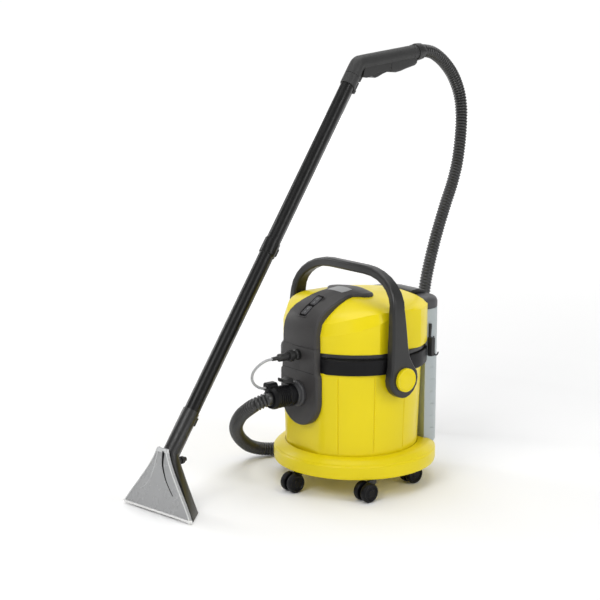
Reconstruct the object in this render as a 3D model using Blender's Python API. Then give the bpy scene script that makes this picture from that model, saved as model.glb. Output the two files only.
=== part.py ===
"""Spray-extraction cleaner: tub on castors, motor head, clean-water tank, hose, wand, floor nozzle.

Metres, +Z up. The console and the suction inlet face -Y and the clean-water tank is at +Y.
Every place below is measured from the point on the floor under the base ring's centre. One
empty then carries all the pieces, so that the whole assembly stands centred on the origin.
"""

import math

import bmesh
import bpy
from mathutils import Matrix, Vector

# The base ring's centre, seen from the middle of the whole assembly's footprint.
CARRIER_PLACE = Vector((0.0131, 0.0719, 0.0))
GAP = 0.0004
TUB_SIDES = 44

# Base ring and container
RING_RADIUS = 0.193
RING_LOW = 0.048
PAD_LOW = 0.046
PAD_RADIUS = 0.095
RING_FLOOR = 0.059
TUB_Y = -0.010
TUB_LOW_RADIUS = 0.1565
TUB_TOP_RADIUS = 0.1630
TUB_TOP = 0.322
TUB_WALL = 0.003
FRONT_FLAT = -0.1567
BACK_FLAT = 0.1175
SIDE_FLAT = 0.1665

# Rim band, head and console
BAND_Y = -0.004
BAND_LOW = 0.2895
BAND_HIGH = 0.3255
HEAD_LOW = 0.337
HEAD_RADIUS = 0.1695
HEAD_BACK = 0.122
HEAD_WALL = 0.003
HEAD_SIDE = 0.1578
CROWN_HEIGHT = 0.4545
WALL_TOP = 0.4255
CONSOLE_SEAM = 0.346
HOUSING_HALF_WIDTH = 0.066
HOUSING_NECK = 0.0605
HOUSING_FOOT = 0.158
HOUSING_FRONT = -0.1735
INLET_HEIGHT = 0.234

# Bail handle
BAIL_PIVOT_Y = -0.016
BAIL_PIVOT_Z = 0.278
BAIL_ARM_X = 0.1795
BAIL_ARM_HALF = 0.012
BAIL_BAR_HALF = 0.0105
BAIL_TOP_X = 0.1765
BAIL_CORNER = 0.115
BAIL_CORNER_HEIGHT = 0.080
BAIL_TOP = 0.2370
BOSS_RADIUS = 0.0430

# Clean-water tank
TANK_FRONT = 0.1238
TANK_REAR = 0.190
TANK_HALF_WIDTH = 0.110
TANK_CORNER = 0.050
TANK_LOW = 0.0792
TANK_TOP = 0.408
LID_TOP = 0.434
FLAP_HINGE_Y = 0.180
FLAP_HINGE_Z = 0.438

# Castors: swivel axes, right side and front
CASTOR_PLACES = {
    "front": (0.0, -0.170),
    "right": (0.159, -0.083),
    "left": (-0.159, -0.083),
    "rear_right": (0.121, 0.092),
    "rear_left": (-0.121, 0.092),
}
CASTOR_TRAIL = 0.020
WHEEL_RADIUS = 0.0225
WHEEL_INNER = 0.0045
WHEEL_OUTER = 0.0195

# Wand: it stands in an upright plane, turned a little from the machine's own Y axis
WAND_YAW = math.radians(8.5)
HEADING = Vector((-math.sin(WAND_YAW), math.cos(WAND_YAW), 0.0))
SIDE = Vector((math.cos(WAND_YAW), math.sin(WAND_YAW), 0.0))
FOOT = Vector((-0.0685, -0.5252, 0.0))
ACROSS = Vector((1.0, 0.0, 0.0))
UPWARD = Vector((0.0, 0.0, 1.0))
NECK = FOOT + HEADING * 0.0480 + UPWARD * 0.1320
WAND_UP = HEADING * 0.6043 + UPWARD * 0.7967
WAND_UNDER = HEADING * WAND_UP.z - UPWARD * WAND_UP.dot(HEADING)
ELBOW = NECK + WAND_UP * 1.0505
GRIP_ALONG = (HEADING * 0.9961 + UPWARD * 0.0885).normalized()
GRIP_UNDER = HEADING * GRIP_ALONG.z - UPWARD * GRIP_ALONG.dot(HEADING)
TUBE_RADIUS = 0.0166
RIB_REACH = 0.0220
TUBE_BORE = 0.0130
SLEEVE_WALL = 0.0024
SOCKET_BORE = 0.0160
SPIGOT_RADIUS = 0.0155
SLEEVE_END = 0.1054
JOINT_START = 0.5149
JOINT_AT = 0.5517
HANDLE_START = 0.9864
GRIP_END = 0.2200
COLLAR_END = 0.2484
OUTLINE_SIDES = 20

# Nozzle, in the wand's own plane: forward of the foot, and height
NOZZLE_HALF_WIDTH = 0.1095
NOZZLE_BACK_HALF_WIDTH = 0.062
NOZZLE_FRONT = 0.0090
NOZZLE_BACK = 0.0750
NOZZLE_RIM = 0.0015
COVER_TOP = FOOT + HEADING * 0.0280 + UPWARD * 0.1475
COVER_DOWN = (HEADING * -0.0195 - UPWARD * 0.1435).normalized()
COVER_OUT = HEADING * COVER_DOWN.z - UPWARD * COVER_DOWN.dot(HEADING)
COVER_DEPTH = 0.0085
COVER_LENGTH = 0.1450

# Free hoses
HOSE_RADIUS = 0.0165
HOSE_START = 0.2566
HOSE_STUB = 0.008
HOSE_POINTS = 56
SPRAY_TUBE_RADIUS = 0.003
SPRAY_TUBE_POINTS = 22
HOSE_ROUTE = [
    (0.0, -0.2750, 0.2335), (-0.012, -0.2865, 0.2240), (-0.038, -0.2880, 0.2070),
    (-0.075, -0.2790, 0.1850), (-0.120, -0.2590, 0.1540), (-0.165, -0.2300, 0.1210),
    (-0.206, -0.1930, 0.0880), (-0.238, -0.1520, 0.0560), (-0.2550, -0.1090, 0.0300),
    (-0.2480, -0.0600, 0.0180), (-0.2330, 0.0000, 0.0172), (-0.2270, 0.0700, 0.0172),
    (-0.2270, 0.1500, 0.0172), (-0.2280, 0.2300, 0.0172), (-0.2270, 0.3050, 0.0300),
    (-0.2240, 0.3580, 0.0700), (-0.2200, 0.3880, 0.1300), (-0.2160, 0.4060, 0.2000),
    (-0.2130, 0.4160, 0.2800), (-0.2120, 0.4260, 0.3700), (-0.2130, 0.4400, 0.4270),
    (-0.2170, 0.4680, 0.5030), (-0.2230, 0.5060, 0.5840), (-0.2270, 0.5330, 0.6360),
    (-0.2300, 0.5550, 0.6940), (-0.2320, 0.5670, 0.7620), (-0.2320, 0.5690, 0.8210),
    (-0.2310, 0.5600, 0.8710), (-0.2260, 0.5310, 0.9210), (-0.2200, 0.4900, 0.9590),
    (-0.2135, 0.4450, 0.9840),
]
SPRAY_ROUTE = [
    (0.0, -0.2520, 0.3255), (0.0, -0.2650, 0.3245), (0.0, -0.2780, 0.3205), (-0.001, -0.2910, 0.3130),
    (-0.004, -0.3000, 0.3010), (-0.007, -0.3010, 0.2870), (-0.010, -0.2940, 0.2740),
    (-0.012, -0.2800, 0.2630), (-0.012, -0.2680, 0.2580), (-0.012, -0.2600, 0.2575),
]

FINISHES = {
    "yellow_plastic": ((0.86, 0.70, 0.03), 0.38, 0.0),
    "black_plastic": ((0.035, 0.035, 0.038), 0.50, 0.0),
    "grey_plastic": ((0.09, 0.09, 0.095), 0.55, 0.0),
    "tank_plastic": ((0.55, 0.60, 0.66), 0.30, 0.0),
    "clear_plastic": ((0.70, 0.71, 0.72), 0.25, 0.0),
    "white_plastic": ((0.80, 0.80, 0.80), 0.40, 0.0),
    "black_rubber": ((0.02, 0.02, 0.02), 0.85, 0.0),
    "steel": ((0.55, 0.55, 0.56), 0.35, 1.0),
    "hose_plastic": ((0.05, 0.05, 0.052), 0.60, 0.0),
    "filter_fleece": ((0.75, 0.72, 0.65), 0.95, 0.0),
}


# ---------------------------------------------------------------- scene and mesh helpers

def clear_scene():
    """Remove every object that the file holds."""
    for item in list(bpy.data.objects):
        bpy.data.objects.remove(item, do_unlink=True)


def make_carrier():
    """The empty that carries the whole assembly."""
    empty = bpy.data.objects.new("carrier", None)
    bpy.context.scene.collection.objects.link(empty)
    empty.location = CARRIER_PLACE
    return empty


def make_material(name, finish):
    """One Principled material for one piece."""
    colour, roughness, metallic = FINISHES[finish]
    surface = bpy.data.materials.new(name + "_" + finish)
    surface.use_nodes = True
    shader = surface.node_tree.nodes["Principled BSDF"]
    shader.inputs["Base Color"].default_value = (*colour, 1.0)
    shader.inputs["Roughness"].default_value = roughness
    shader.inputs["Metallic"].default_value = metallic
    surface.diffuse_color = (*colour, 1.0)
    return surface


def add_piece(name, mesh, finish, pivot=(0.0, 0.0, 0.0)):
    """Place a mesh as a piece whose origin is at pivot."""
    mesh.transform(Matrix.Translation(-Vector(pivot)))
    mesh.materials.append(make_material(name, finish))
    mesh.shade_smooth()
    mesh.set_sharp_from_angle(angle=math.radians(32.0))
    piece = bpy.data.objects.new(name, mesh)
    bpy.context.scene.collection.objects.link(piece)
    piece.parent = CARRIER
    piece.location = pivot
    return piece


def loft(name, loops, finish, pivot=(0.0, 0.0, 0.0), ring=False):
    """Skin a list of loops with equal point counts; a ring joins its last loop to its first."""
    shape = bmesh.new()
    rows = [[shape.verts.new(point) for point in loop] for loop in loops]
    pairs = list(zip(rows, rows[1:]))
    if ring:
        pairs.append((rows[-1], rows[0]))
    else:
        shape.faces.new(rows[0])
        shape.faces.new(rows[-1])
    for low, high in pairs:
        for i in range(len(low)):
            j = (i + 1) % len(low)
            shape.faces.new((low[i], low[j], high[j], high[i]))
    walls = [face for face in shape.faces if len(face.verts) == 4]
    bmesh.ops.triangulate(shape, faces=walls, quad_method="FIXED")
    bmesh.ops.recalc_face_normals(shape, faces=shape.faces)
    if shape.calc_volume(signed=True) < 0.0:
        bmesh.ops.reverse_faces(shape, faces=shape.faces)
    mesh = bpy.data.meshes.new(name)
    shape.to_mesh(mesh)
    shape.free()
    return add_piece(name, mesh, finish, pivot)


def turned(name, profile, centre, axis, finish, sides=16, ring=False, pivot=None):
    """Turn a profile of (radius, distance along the axis) pairs about an axis."""
    centre = Vector(centre)
    turn = Vector(axis).to_track_quat("Z", "Y")
    loops = []
    for radius, reach in profile:
        loop = []
        for i in range(sides):
            angle = 2.0 * math.pi * (i + 0.5) / sides
            spoke = Vector((radius * math.cos(angle), radius * math.sin(angle), reach))
            loop.append(centre + turn @ spoke)
        loops.append(loop)
    return loft(name, loops, finish, centre if pivot is None else pivot, ring)


def prism(name, outline, start, end, finish, pivot=(0.0, 0.0, 0.0)):
    """Push a flat outline from its start offset to its end offset."""
    loops = [[point + start for point in outline], [point + end for point in outline]]
    return loft(name, loops, finish, pivot)


def block(name, low, high, finish, pivot=(0.0, 0.0, 0.0), corner=0.0):
    """A box between two corners, with its upright edges cut by corner."""
    x0, y0, z0 = low
    x1, y1, z1 = high
    if corner:
        outline = [
            (x0 + corner, y0), (x1 - corner, y0), (x1, y0 + corner), (x1, y1 - corner),
            (x1 - corner, y1), (x0 + corner, y1), (x0, y1 - corner), (x0, y0 + corner),
        ]
    else:
        outline = [(x0, y0), (x1, y0), (x1, y1), (x0, y1)]
    loops = [[Vector((x, y, z)) for x, y in outline] for z in (z0, z1)]
    return loft(name, loops, finish, pivot)


def cut(piece, cutter, operation="DIFFERENCE"):
    """Cut a piece with a hidden cutter, or join the cutter's shape to it."""
    cutter.hide_render = True
    cutter.display_type = "WIRE"
    change = piece.modifiers.new(cutter.name, "BOOLEAN")
    change.operation = operation
    change.object = cutter


def drill(piece, name, centre, axis, radius, reach, sides=16):
    """Cut a round hole that runs from centre along axis for reach."""
    cutter = turned(name, [(radius, 0.0), (radius, reach)], centre, axis, "steel", sides)
    cut(piece, cutter)


# ---------------------------------------------------------------- loops of the tub and head

def clamp(value, low, high):
    return max(low, min(high, value))


def tub_loop(radius, height, centre_y=0.0, front=FRONT_FLAT, back=HEAD_BACK, side=SIDE_FLAT):
    """A circle about the tub, flattened in front, behind and beside the bail's arms."""
    loop = []
    for i in range(TUB_SIDES):
        angle = 2.0 * math.pi * (i + 0.5) / TUB_SIDES
        x = clamp(radius * math.cos(angle), -side, side)
        y = clamp(centre_y + radius * math.sin(angle), front, back)
        loop.append(Vector((x, y, height)))
    return loop


def crown_height(x, y):
    """The head's top surface: a low dome that falls away faster towards the front."""
    front = max(0.0, -0.02 - y)
    back = max(0.0, y)
    return CROWN_HEIGHT - 3.9 * front ** 2.15 - 0.65 * back ** 2 - 0.9 * x ** 2


def wall_height(x, y):
    """The upper edge of the head's upright wall: sloping in front, level behind."""
    return min(0.3754 + 0.34 * (y + 0.156), WALL_TOP)


def draped(loop, height_at, grow):
    """The same loop, lifted to the height that height_at gives at each point."""
    return [Vector((point.x, point.y, height_at(point.x, point.y) + grow)) for point in loop]


def dome_loops(grow=0.0):
    """The head's outer surface from its crown down to its rim, grown outwards by grow."""
    flats = {"front": FRONT_FLAT - grow, "back": HEAD_BACK + grow, "side": HEAD_SIDE + grow}
    loops = []
    for radius, drop in ((0.022, 0.0), (0.062, 0.0), (0.106, 0.0), (0.141, 0.0), (0.160, 0.002)):
        flat_loop = tub_loop(radius + grow, 0.0, **flats)
        loops.append(draped(flat_loop, crown_height, grow - drop))
    wall = tub_loop(HEAD_RADIUS + grow, 0.0, **flats)
    loops.append(draped(wall, wall_height, grow))
    loops.append(tub_loop(HEAD_RADIUS + grow, 0.3395 + grow, **flats))
    loops.append(tub_loop(0.1682 + grow, HEAD_LOW + grow, **flats))
    return loops


# ---------------------------------------------------------------- base, tub and band

def make_base_ring():
    rows = [
        (PAD_RADIUS, PAD_LOW), (PAD_RADIUS + 0.001, RING_LOW),
        (0.1850, RING_LOW), (0.1915, 0.0505), (RING_RADIUS, 0.055), (RING_RADIUS, 0.0785),
        (0.1895, 0.0815), (0.1890, 0.0835), (0.1800, 0.0915), (0.1715, 0.0965),
    ]
    loops = [tub_loop(radius, height, front=-1.0, back=1.0, side=1.0) for radius, height in rows]
    bore = TUB_LOW_RADIUS + 0.0013
    loops.append(tub_loop(bore, 0.0972, TUB_Y, -1.0, BACK_FLAT + 0.001, 1.0))
    loops.append(tub_loop(bore, RING_FLOOR, TUB_Y, -1.0, BACK_FLAT + 0.001, 1.0))
    ring = loft("base_ring", loops, "yellow_plastic")
    seat = block("cut_tank_seat", (-0.1125, TANK_FRONT - 0.0018, TANK_LOW - GAP),
                 (0.1125, 0.25, 0.13), "steel")
    cut(ring, seat)
    for place, (x, y) in CASTOR_PLACES.items():
        drill(ring, "cut_socket_" + place, (x, y, 0.040), (0, 0, 1), 0.0055, 0.0175, 10)


def make_container():
    outer = [
        (0.140, RING_FLOOR + GAP, FRONT_FLAT), (0.149, 0.0606, FRONT_FLAT),
        (0.1525, 0.067, FRONT_FLAT), (TUB_LOW_RADIUS, 0.099, FRONT_FLAT),
        (TUB_TOP_RADIUS, 0.286, FRONT_FLAT), (TUB_TOP_RADIUS, 0.2866, FRONT_FLAT + 0.004),
        (TUB_TOP_RADIUS, TUB_TOP, FRONT_FLAT + 0.004),
    ]
    inner = [(radius - TUB_WALL, height, front + TUB_WALL) for radius, height, front in outer]
    inner[0] = (inner[0][0], inner[0][1] + 0.004, inner[0][2])
    inner[1] = (inner[1][0], inner[1][1] + 0.0035, inner[1][2])
    loops = [tub_loop(r, z, TUB_Y, front, BACK_FLAT, 1.0) for r, z, front in outer]
    loops += [tub_loop(r, z, TUB_Y, front, BACK_FLAT - TUB_WALL, 1.0)
              for r, z, front in reversed(inner)]
    tub = loft("container", loops, "yellow_plastic")
    drill(tub, "cut_inlet_wall", (0, -0.175, INLET_HEIGHT), (0, 1, 0), 0.0228, 0.04)


def make_rim_band():
    outer_rows = [(0.1710, BAND_LOW), (0.1725, 0.2912), (0.1725, 0.3238), (0.1710, BAND_HIGH)]
    loops = [tub_loop(radius, height, BAND_Y) for radius, height in outer_rows]
    inner = TUB_TOP_RADIUS + 0.0006
    for height in (BAND_HIGH, BAND_LOW):
        loops.append(tub_loop(inner, height, TUB_Y, FRONT_FLAT + 0.0034, BACK_FLAT + 0.0006, 1.0))
    loft("rim_band", loops, "black_plastic", ring=True)


def make_head_gasket():
    rows = [(0.1622, 0.3224), (0.1622, 0.3262), (0.1585, 0.3262), (0.1585, 0.3224)]
    loops = []
    for radius, height in rows:
        inset = 0.1630 - radius
        loops.append(tub_loop(radius, height, TUB_Y, -0.1520 + inset, BACK_FLAT - inset, 1.0))
    loft("head_gasket", loops, "black_rubber", ring=True)


# ---------------------------------------------------------------- head

def make_head_shell():
    inner = dome_loops(-HEAD_WALL)[:6]
    inner.append(tub_loop(HEAD_RADIUS - HEAD_WALL, HEAD_LOW, front=FRONT_FLAT + HEAD_WALL,
                          back=HEAD_BACK - HEAD_WALL, side=HEAD_SIDE - HEAD_WALL))
    inner.reverse()
    shell = loft("head_shell", dome_loops() + inner, "yellow_plastic")
    drill(shell, "cut_cord_hole", (-0.1300, 0.0750, 0.362), (-0.866, 0.5, 0), 0.0065, 0.06, 12)


def make_motor_plate():
    outer = [(0.1650, 0.3267), (0.1650, HEAD_LOW - GAP)]
    loops = [tub_loop(radius, height) for radius, height in outer]
    loops += [tub_loop(0.030, HEAD_LOW - GAP), tub_loop(0.030, 0.3267)]
    loft("motor_plate", loops, "black_plastic", ring=True)


def console_rows():
    """The console's outer line as (Y, Z, half-width), from the seam up and over the crown."""
    return [
        (-0.1745, CONSOLE_SEAM + GAP, 0.0600), (-0.1745, 0.3630, 0.0597),
        (-0.1738, 0.3800, 0.0592), (-0.1712, 0.3950, 0.0587), (-0.1655, 0.4085, 0.0580),
        (-0.1556, 0.4210, 0.0572), (-0.1400, 0.4330, 0.0560), (-0.1200, 0.4435, 0.0540),
        (-0.0940, 0.4540, 0.0510), (-0.0700, 0.4605, 0.0478), (-0.0520, 0.4632, 0.0470),
        (-0.0380, 0.4645, 0.0580), (-0.0300, 0.4650, 0.0670), (-0.0200, 0.4650, 0.0710),
        (-0.0080, 0.4645, 0.0700), (0.0010, 0.4635, 0.0640), (0.0055, 0.4625, 0.0540),
    ]


def console_loops():
    """Cross-sections of the console, each square to its outer line and crowned."""
    rows = console_rows()
    loops = []
    for index, (y, z, half) in enumerate(rows):
        before = rows[max(index - 1, 0)]
        after = rows[min(index + 1, len(rows) - 1)]
        run = Vector((0.0, after[0] - before[0], after[1] - before[1])).normalized()
        if index == 0:
            run = Vector((0.0, 0.0, 1.0))
        outward = Vector((0.0, -run.z, run.y))
        depth = 0.034
        crown = 0.003 + 0.004 * clamp((z - 0.430) / 0.033, 0.0, 1.0)
        loop = [Vector((half, y, z)) - outward * depth]
        for step in (1.0, 0.93, 0.72, 0.36, 0.0, -0.36, -0.72, -0.93, -1.0):
            edge = 0.0030 if abs(step) == 1.0 else 0.0
            loop.append(Vector((half * step, y, z)) - outward * (crown * step * step + edge))
        loop.append(Vector((-half, y, z)) - outward * depth)
        loops.append(loop)
    return loops


SWITCH_RUN = Vector((0.0, 0.060, 0.040)).normalized()
SWITCH_OUT = Vector((0.0, -SWITCH_RUN.z, SWITCH_RUN.y))
SWITCH_CENTRE = Vector((0.0, -0.1328, 0.4332))


def switch_outline(along_centre, half_long, half_wide, corner):
    """An octagon in the console's sloping face, centred on the switch row."""
    middle = SWITCH_CENTRE + SWITCH_RUN * along_centre
    shape = [
        (half_wide - corner, -half_long), (half_wide, corner - half_long),
        (half_wide, half_long - corner), (half_wide - corner, half_long),
        (corner - half_wide, half_long), (-half_wide, half_long - corner),
        (-half_wide, corner - half_long), (corner - half_wide, -half_long),
    ]
    return [middle + ACROSS * across + SWITCH_RUN * along for across, along in shape]


def make_console_top():
    console = loft("console_top", console_loops(), "black_plastic")
    dome = loft("cut_dome", dome_loops(GAP), "steel")
    cut(console, dome)
    pocket = prism("cut_switch_pocket", switch_outline(0.0, 0.0345, 0.0125, 0.005),
                   SWITCH_OUT * -0.0058, SWITCH_OUT * 0.02, "steel")
    cut(console, pocket)


def make_switch(name, along_centre):
    """A rocker whose pivot lies across the console, just under its own top."""
    pivot = SWITCH_CENTRE + SWITCH_RUN * along_centre - SWITCH_OUT * 0.0020
    prism(name, switch_outline(along_centre, 0.0135, 0.0085, 0.002),
          SWITCH_OUT * -0.0036, SWITCH_OUT * 0.0026, "grey_plastic", pivot)


def make_motor():
    """The suction motor: a bell over the turbine, and the pump beside it."""
    profile = [
        (0.068, HEAD_LOW + GAP), (0.068, 0.366), (0.050, 0.372), (0.048, 0.418), (0.030, 0.426),
        (0.0056, 0.4262), (0.0056, 0.3640), (0.060, 0.3640), (0.060, HEAD_LOW + GAP),
    ]
    turned("suction_motor", profile, (0, 0, 0), (0, 0, 1), "grey_plastic", 24, ring=True)
    turbine = [
        (0.006, 0.3410), (0.052, 0.3420), (0.054, 0.3570), (0.012, 0.3590), (0.0048, 0.3600),
        (0.0048, 0.4190),
    ]
    turned("turbine", turbine, (0, 0, 0), (0, 0, 1), "steel", 24)
    block("water_pump", (0.080, -0.035, HEAD_LOW + GAP), (0.125, 0.035, 0.378),
          "grey_plastic", corner=0.006)


def make_float_parts():
    cage = [
        (0.0430, 0.3263), (0.0430, 0.2450), (0.0270, 0.2450), (0.0270, 0.2490), (0.0390, 0.2490),
        (0.0390, 0.3263),
    ]
    housing = turned("float_cage", cage, (0, 0, 0), (0, 0, 1), "black_plastic", 24, ring=True)
    for index in range(2):
        turn = Matrix.Rotation(math.radians(90.0 * index), 4, "Z")
        corners = [Vector((-0.06, -0.012, 0.262)), Vector((0.06, -0.012, 0.262)),
                   Vector((0.06, 0.012, 0.262)), Vector((-0.06, 0.012, 0.262))]
        outline = [turn @ corner for corner in corners]
        window = prism("cut_cage_window_%d" % index, outline, Vector((0, 0, 0)),
                       Vector((0, 0, 0.050)), "steel")
        cut(housing, window)
    ball = [(0.020, 0.2496), (0.0340, 0.2560), (0.0355, 0.2740), (0.0300, 0.2860), (0.012, 0.2900)]
    turned("float_cup", ball, (0, 0, 0), (0, 0, 1), "white_plastic", 20, pivot=(0, 0, 0.2496))
    pleats = [(0.0440, 0.3263), (0.0690, 0.3263), (0.0690, 0.2680), (0.0440, 0.2680)]
    turned("motor_filter", pleats, (0, 0, 0), (0, 0, 1), "filter_fleece", 24, ring=True)


def make_cord_gland():
    """The mains lead's sleeve; the lead itself isn't part of the model."""
    profile = [(0.0060, -0.018), (0.0060, 0.0006), (0.0110, 0.0006), (0.0105, 0.006),
               (0.0070, 0.020)]
    turned("cord_gland", profile, (-0.1472, 0.0850, 0.362), (-0.866, 0.5, 0), "black_rubber", 12)


# ---------------------------------------------------------------- inlet and couplings

def housing_outline(inset, y):
    """The inlet housing's outline: a narrower top, straight sides and a half-round foot."""
    half = HOUSING_HALF_WIDTH - inset
    neck = HOUSING_NECK - inset
    foot = HOUSING_HALF_WIDTH + HOUSING_FOOT
    points = [Vector((half, y, 0.2830)), Vector((neck, y, 0.2890)),
              Vector((neck, y, CONSOLE_SEAM - inset)), Vector((-neck, y, CONSOLE_SEAM - inset)),
              Vector((-neck, y, 0.2890)), Vector((-half, y, 0.2830))]
    for i in range(13):
        angle = math.pi + math.pi * i / 12
        points.append(Vector((half * math.cos(angle), y, foot + half * math.sin(angle))))
    return points


def make_inlet():
    loops = [housing_outline(0.0, FRONT_FLAT - 0.0005), housing_outline(0.0, HOUSING_FRONT + 0.004),
             housing_outline(0.0035, HOUSING_FRONT)]
    housing = loft("inlet_housing", loops, "black_plastic")
    drill(housing, "cut_inlet_bore", (0, -0.190, INLET_HEIGHT), (0, 1, 0), 0.0228, 0.04)
    port = [
        (0.0222, 0.072), (0.0222, 0.0209), (0.0300, 0.0209), (0.0300, 0.0150), (0.0270, 0.0130),
        (0.0270, 0.0030), (0.0205, 0.0030), (0.0205, 0.072),
    ]
    turned("inlet_port", port, (0, -0.195, INLET_HEIGHT), (0, 1, 0), "grey_plastic", 20, ring=True)


def make_machine_cuff():
    profile = [
        (0.0150, 0.045), (0.0200, 0.045), (0.0200, 0.0015), (0.0245, 0.0015), (0.0250, -0.010),
        (0.0235, -0.014), (0.0245, -0.018), (0.0245, -0.052), (0.0230, -0.0613),
        (0.0150, -0.0613),
    ]
    cuff = turned("machine_cuff", profile, (0, -0.195, INLET_HEIGHT), (0, 1, 0), "black_plastic",
                  20, ring=True)
    boss = turned("join_tube_boss", [(0.0058, 0.0), (0.0058, 0.024)], (-0.012, -0.2563, 0.2575),
                  (0, 1, 0), "steel", 12)
    cut(cuff, boss, "UNION")


CUFF_LEVER_PIVOT = Vector((0.0, -0.2010, 0.2660))


def make_cuff_lever():
    outline = [(-0.197, 0.2625), (-0.197, 0.2690), (-0.203, 0.2705), (-0.232, 0.2700),
               (-0.248, 0.2735), (-0.249, 0.2700), (-0.232, 0.2640)]
    points = [Vector((0.0, y, z)) for y, z in outline]
    prism("cuff_lever", points, ACROSS * -0.008, ACROSS * 0.010, "black_plastic", CUFF_LEVER_PIVOT)


def make_spray_coupling():
    socket = [(0.0130, 0.0), (0.0130, -0.008), (0.0100, -0.010), (0.0100, -0.031),
              (0.0062, -0.031), (0.0062, 0.0)]
    turned("coupling_socket", socket, (0, HOUSING_FRONT - GAP, 0.3255), (0, 1, 0), "black_plastic",
           16, ring=True)
    sleeve = [(0.0104, 0.0), (0.0135, 0.0), (0.0135, -0.013), (0.0104, -0.013)]
    turned("coupling_sleeve", sleeve, (0, -0.1905, 0.3255), (0, 1, 0), "black_plastic", 16,
           ring=True)
    plug = [(0.0055, 0.020), (0.0055, -0.0005), (0.0092, -0.0005), (0.0092, -0.024),
            (0.0050, -0.028), (0.0045, -0.0435)]
    turned("coupling_plug", plug, (0, -0.2055, 0.3255), (0, 1, 0), "black_plastic", 16)


# ---------------------------------------------------------------- bail handle

def bail_stations():
    """(centre, half-width) along the right arm and corner, from the boss to the top bar."""
    stations = []
    for share in (-0.985, -0.90, -0.70, -0.35, 0.0, 0.35):
        reach = share * BOSS_RADIUS
        half = math.sqrt(max(BOSS_RADIUS ** 2 - reach ** 2, 0.0))
        stations.append((BAIL_ARM_X, 0.0, reach, half))
    stations += [(BAIL_ARM_X, -0.0040, 0.030, 0.0330), (BAIL_ARM_X, -0.0095, 0.050, 0.0272),
                 (BAIL_ARM_X, -0.0120, 0.075, 0.0240), (BAIL_ARM_X, -0.0130, 0.105, 0.0220),
                 (0.1785, -0.0135, 0.135, 0.0200)]
    for i in range(8):
        angle = math.pi / 2 * i / 7
        rise = math.sin(angle)
        stations.append((BAIL_TOP_X - BAIL_CORNER * (1.0 - math.cos(angle)),
                         -0.0135 + 0.0095 * rise,
                         BAIL_TOP - BAIL_CORNER_HEIGHT * (1.0 - rise),
                         0.0185 - 0.0063 * rise))
    return [(Vector((x, BAIL_PIVOT_Y + y, BAIL_PIVOT_Z + reach)), half)
            for x, y, reach, half in stations]


def make_bail():
    right = bail_stations()
    stations = right + [(Vector((-centre.x, centre.y, centre.z)), half)
                        for centre, half in reversed(right)]
    across = Vector((0.0, 1.0, 0.0))
    loops = []
    for index, (centre, half) in enumerate(stations):
        before = stations[max(index - 1, 0)][0]
        after = stations[min(index + 1, len(stations) - 1)][0]
        run = Vector((after.x - before.x, 0.0, after.z - before.z)).normalized()
        thick = run.cross(across)
        bevel = min(0.004, half * 0.4)
        slim = clamp((centre.z - BAIL_PIVOT_Z - 0.075) / 0.075, 0.0, 1.0)
        thickness = BAIL_ARM_HALF + (BAIL_BAR_HALF - BAIL_ARM_HALF) * slim
        loop = []
        for u, v in ((1, 1), (-1, 1), (-1, -1), (1, -1)):
            wide = u * half
            deep = v * thickness
            first = (wide, deep - v * bevel)
            second = (wide - u * bevel, deep)
            pair = (first, second) if u * v > 0 else (second, first)
            for a, b in pair:
                loop.append(centre + across * a + thick * b)
        loops.append(loop)
    pivot = (0.0, BAIL_PIVOT_Y, BAIL_PIVOT_Z)
    bail = loft("bail_handle", loops, "black_plastic", pivot)
    for name, sign in (("right", 1), ("left", -1)):
        drill(bail, "cut_bail_bore_" + name, (sign * 0.16, BAIL_PIVOT_Y, BAIL_PIVOT_Z),
              (sign, 0, 0), 0.0088, 0.05)
        cap = [(0.0080, 0.0), (0.0080, 0.0284), (0.0275, 0.0284), (0.0275, 0.0320),
               (0.0235, 0.0352), (0.0120, 0.0358)]
        turned("bail_cap_" + name, cap, (sign * 0.1636, BAIL_PIVOT_Y, BAIL_PIVOT_Z),
               (sign, 0, 0), "yellow_plastic", 24)


# ---------------------------------------------------------------- clean-water tank

def tank_loop(inset, height):
    """The tank's plan: square front corners, round rear corners."""
    half = TANK_HALF_WIDTH - inset
    rear = TANK_REAR - inset
    radius = TANK_CORNER - inset
    points = [Vector((half, TANK_FRONT + inset, height))]
    for i in range(7):
        angle = math.pi / 2 * i / 6
        points.append(Vector((half - radius + radius * math.cos(angle),
                              rear - radius + radius * math.sin(angle), height)))
    for i in range(7):
        angle = math.pi / 2 + math.pi / 2 * i / 6
        points.append(Vector((radius - half + radius * math.cos(angle),
                              rear - radius + radius * math.sin(angle), height)))
    points.append(Vector((-half, TANK_FRONT + inset, height)))
    return points


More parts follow.
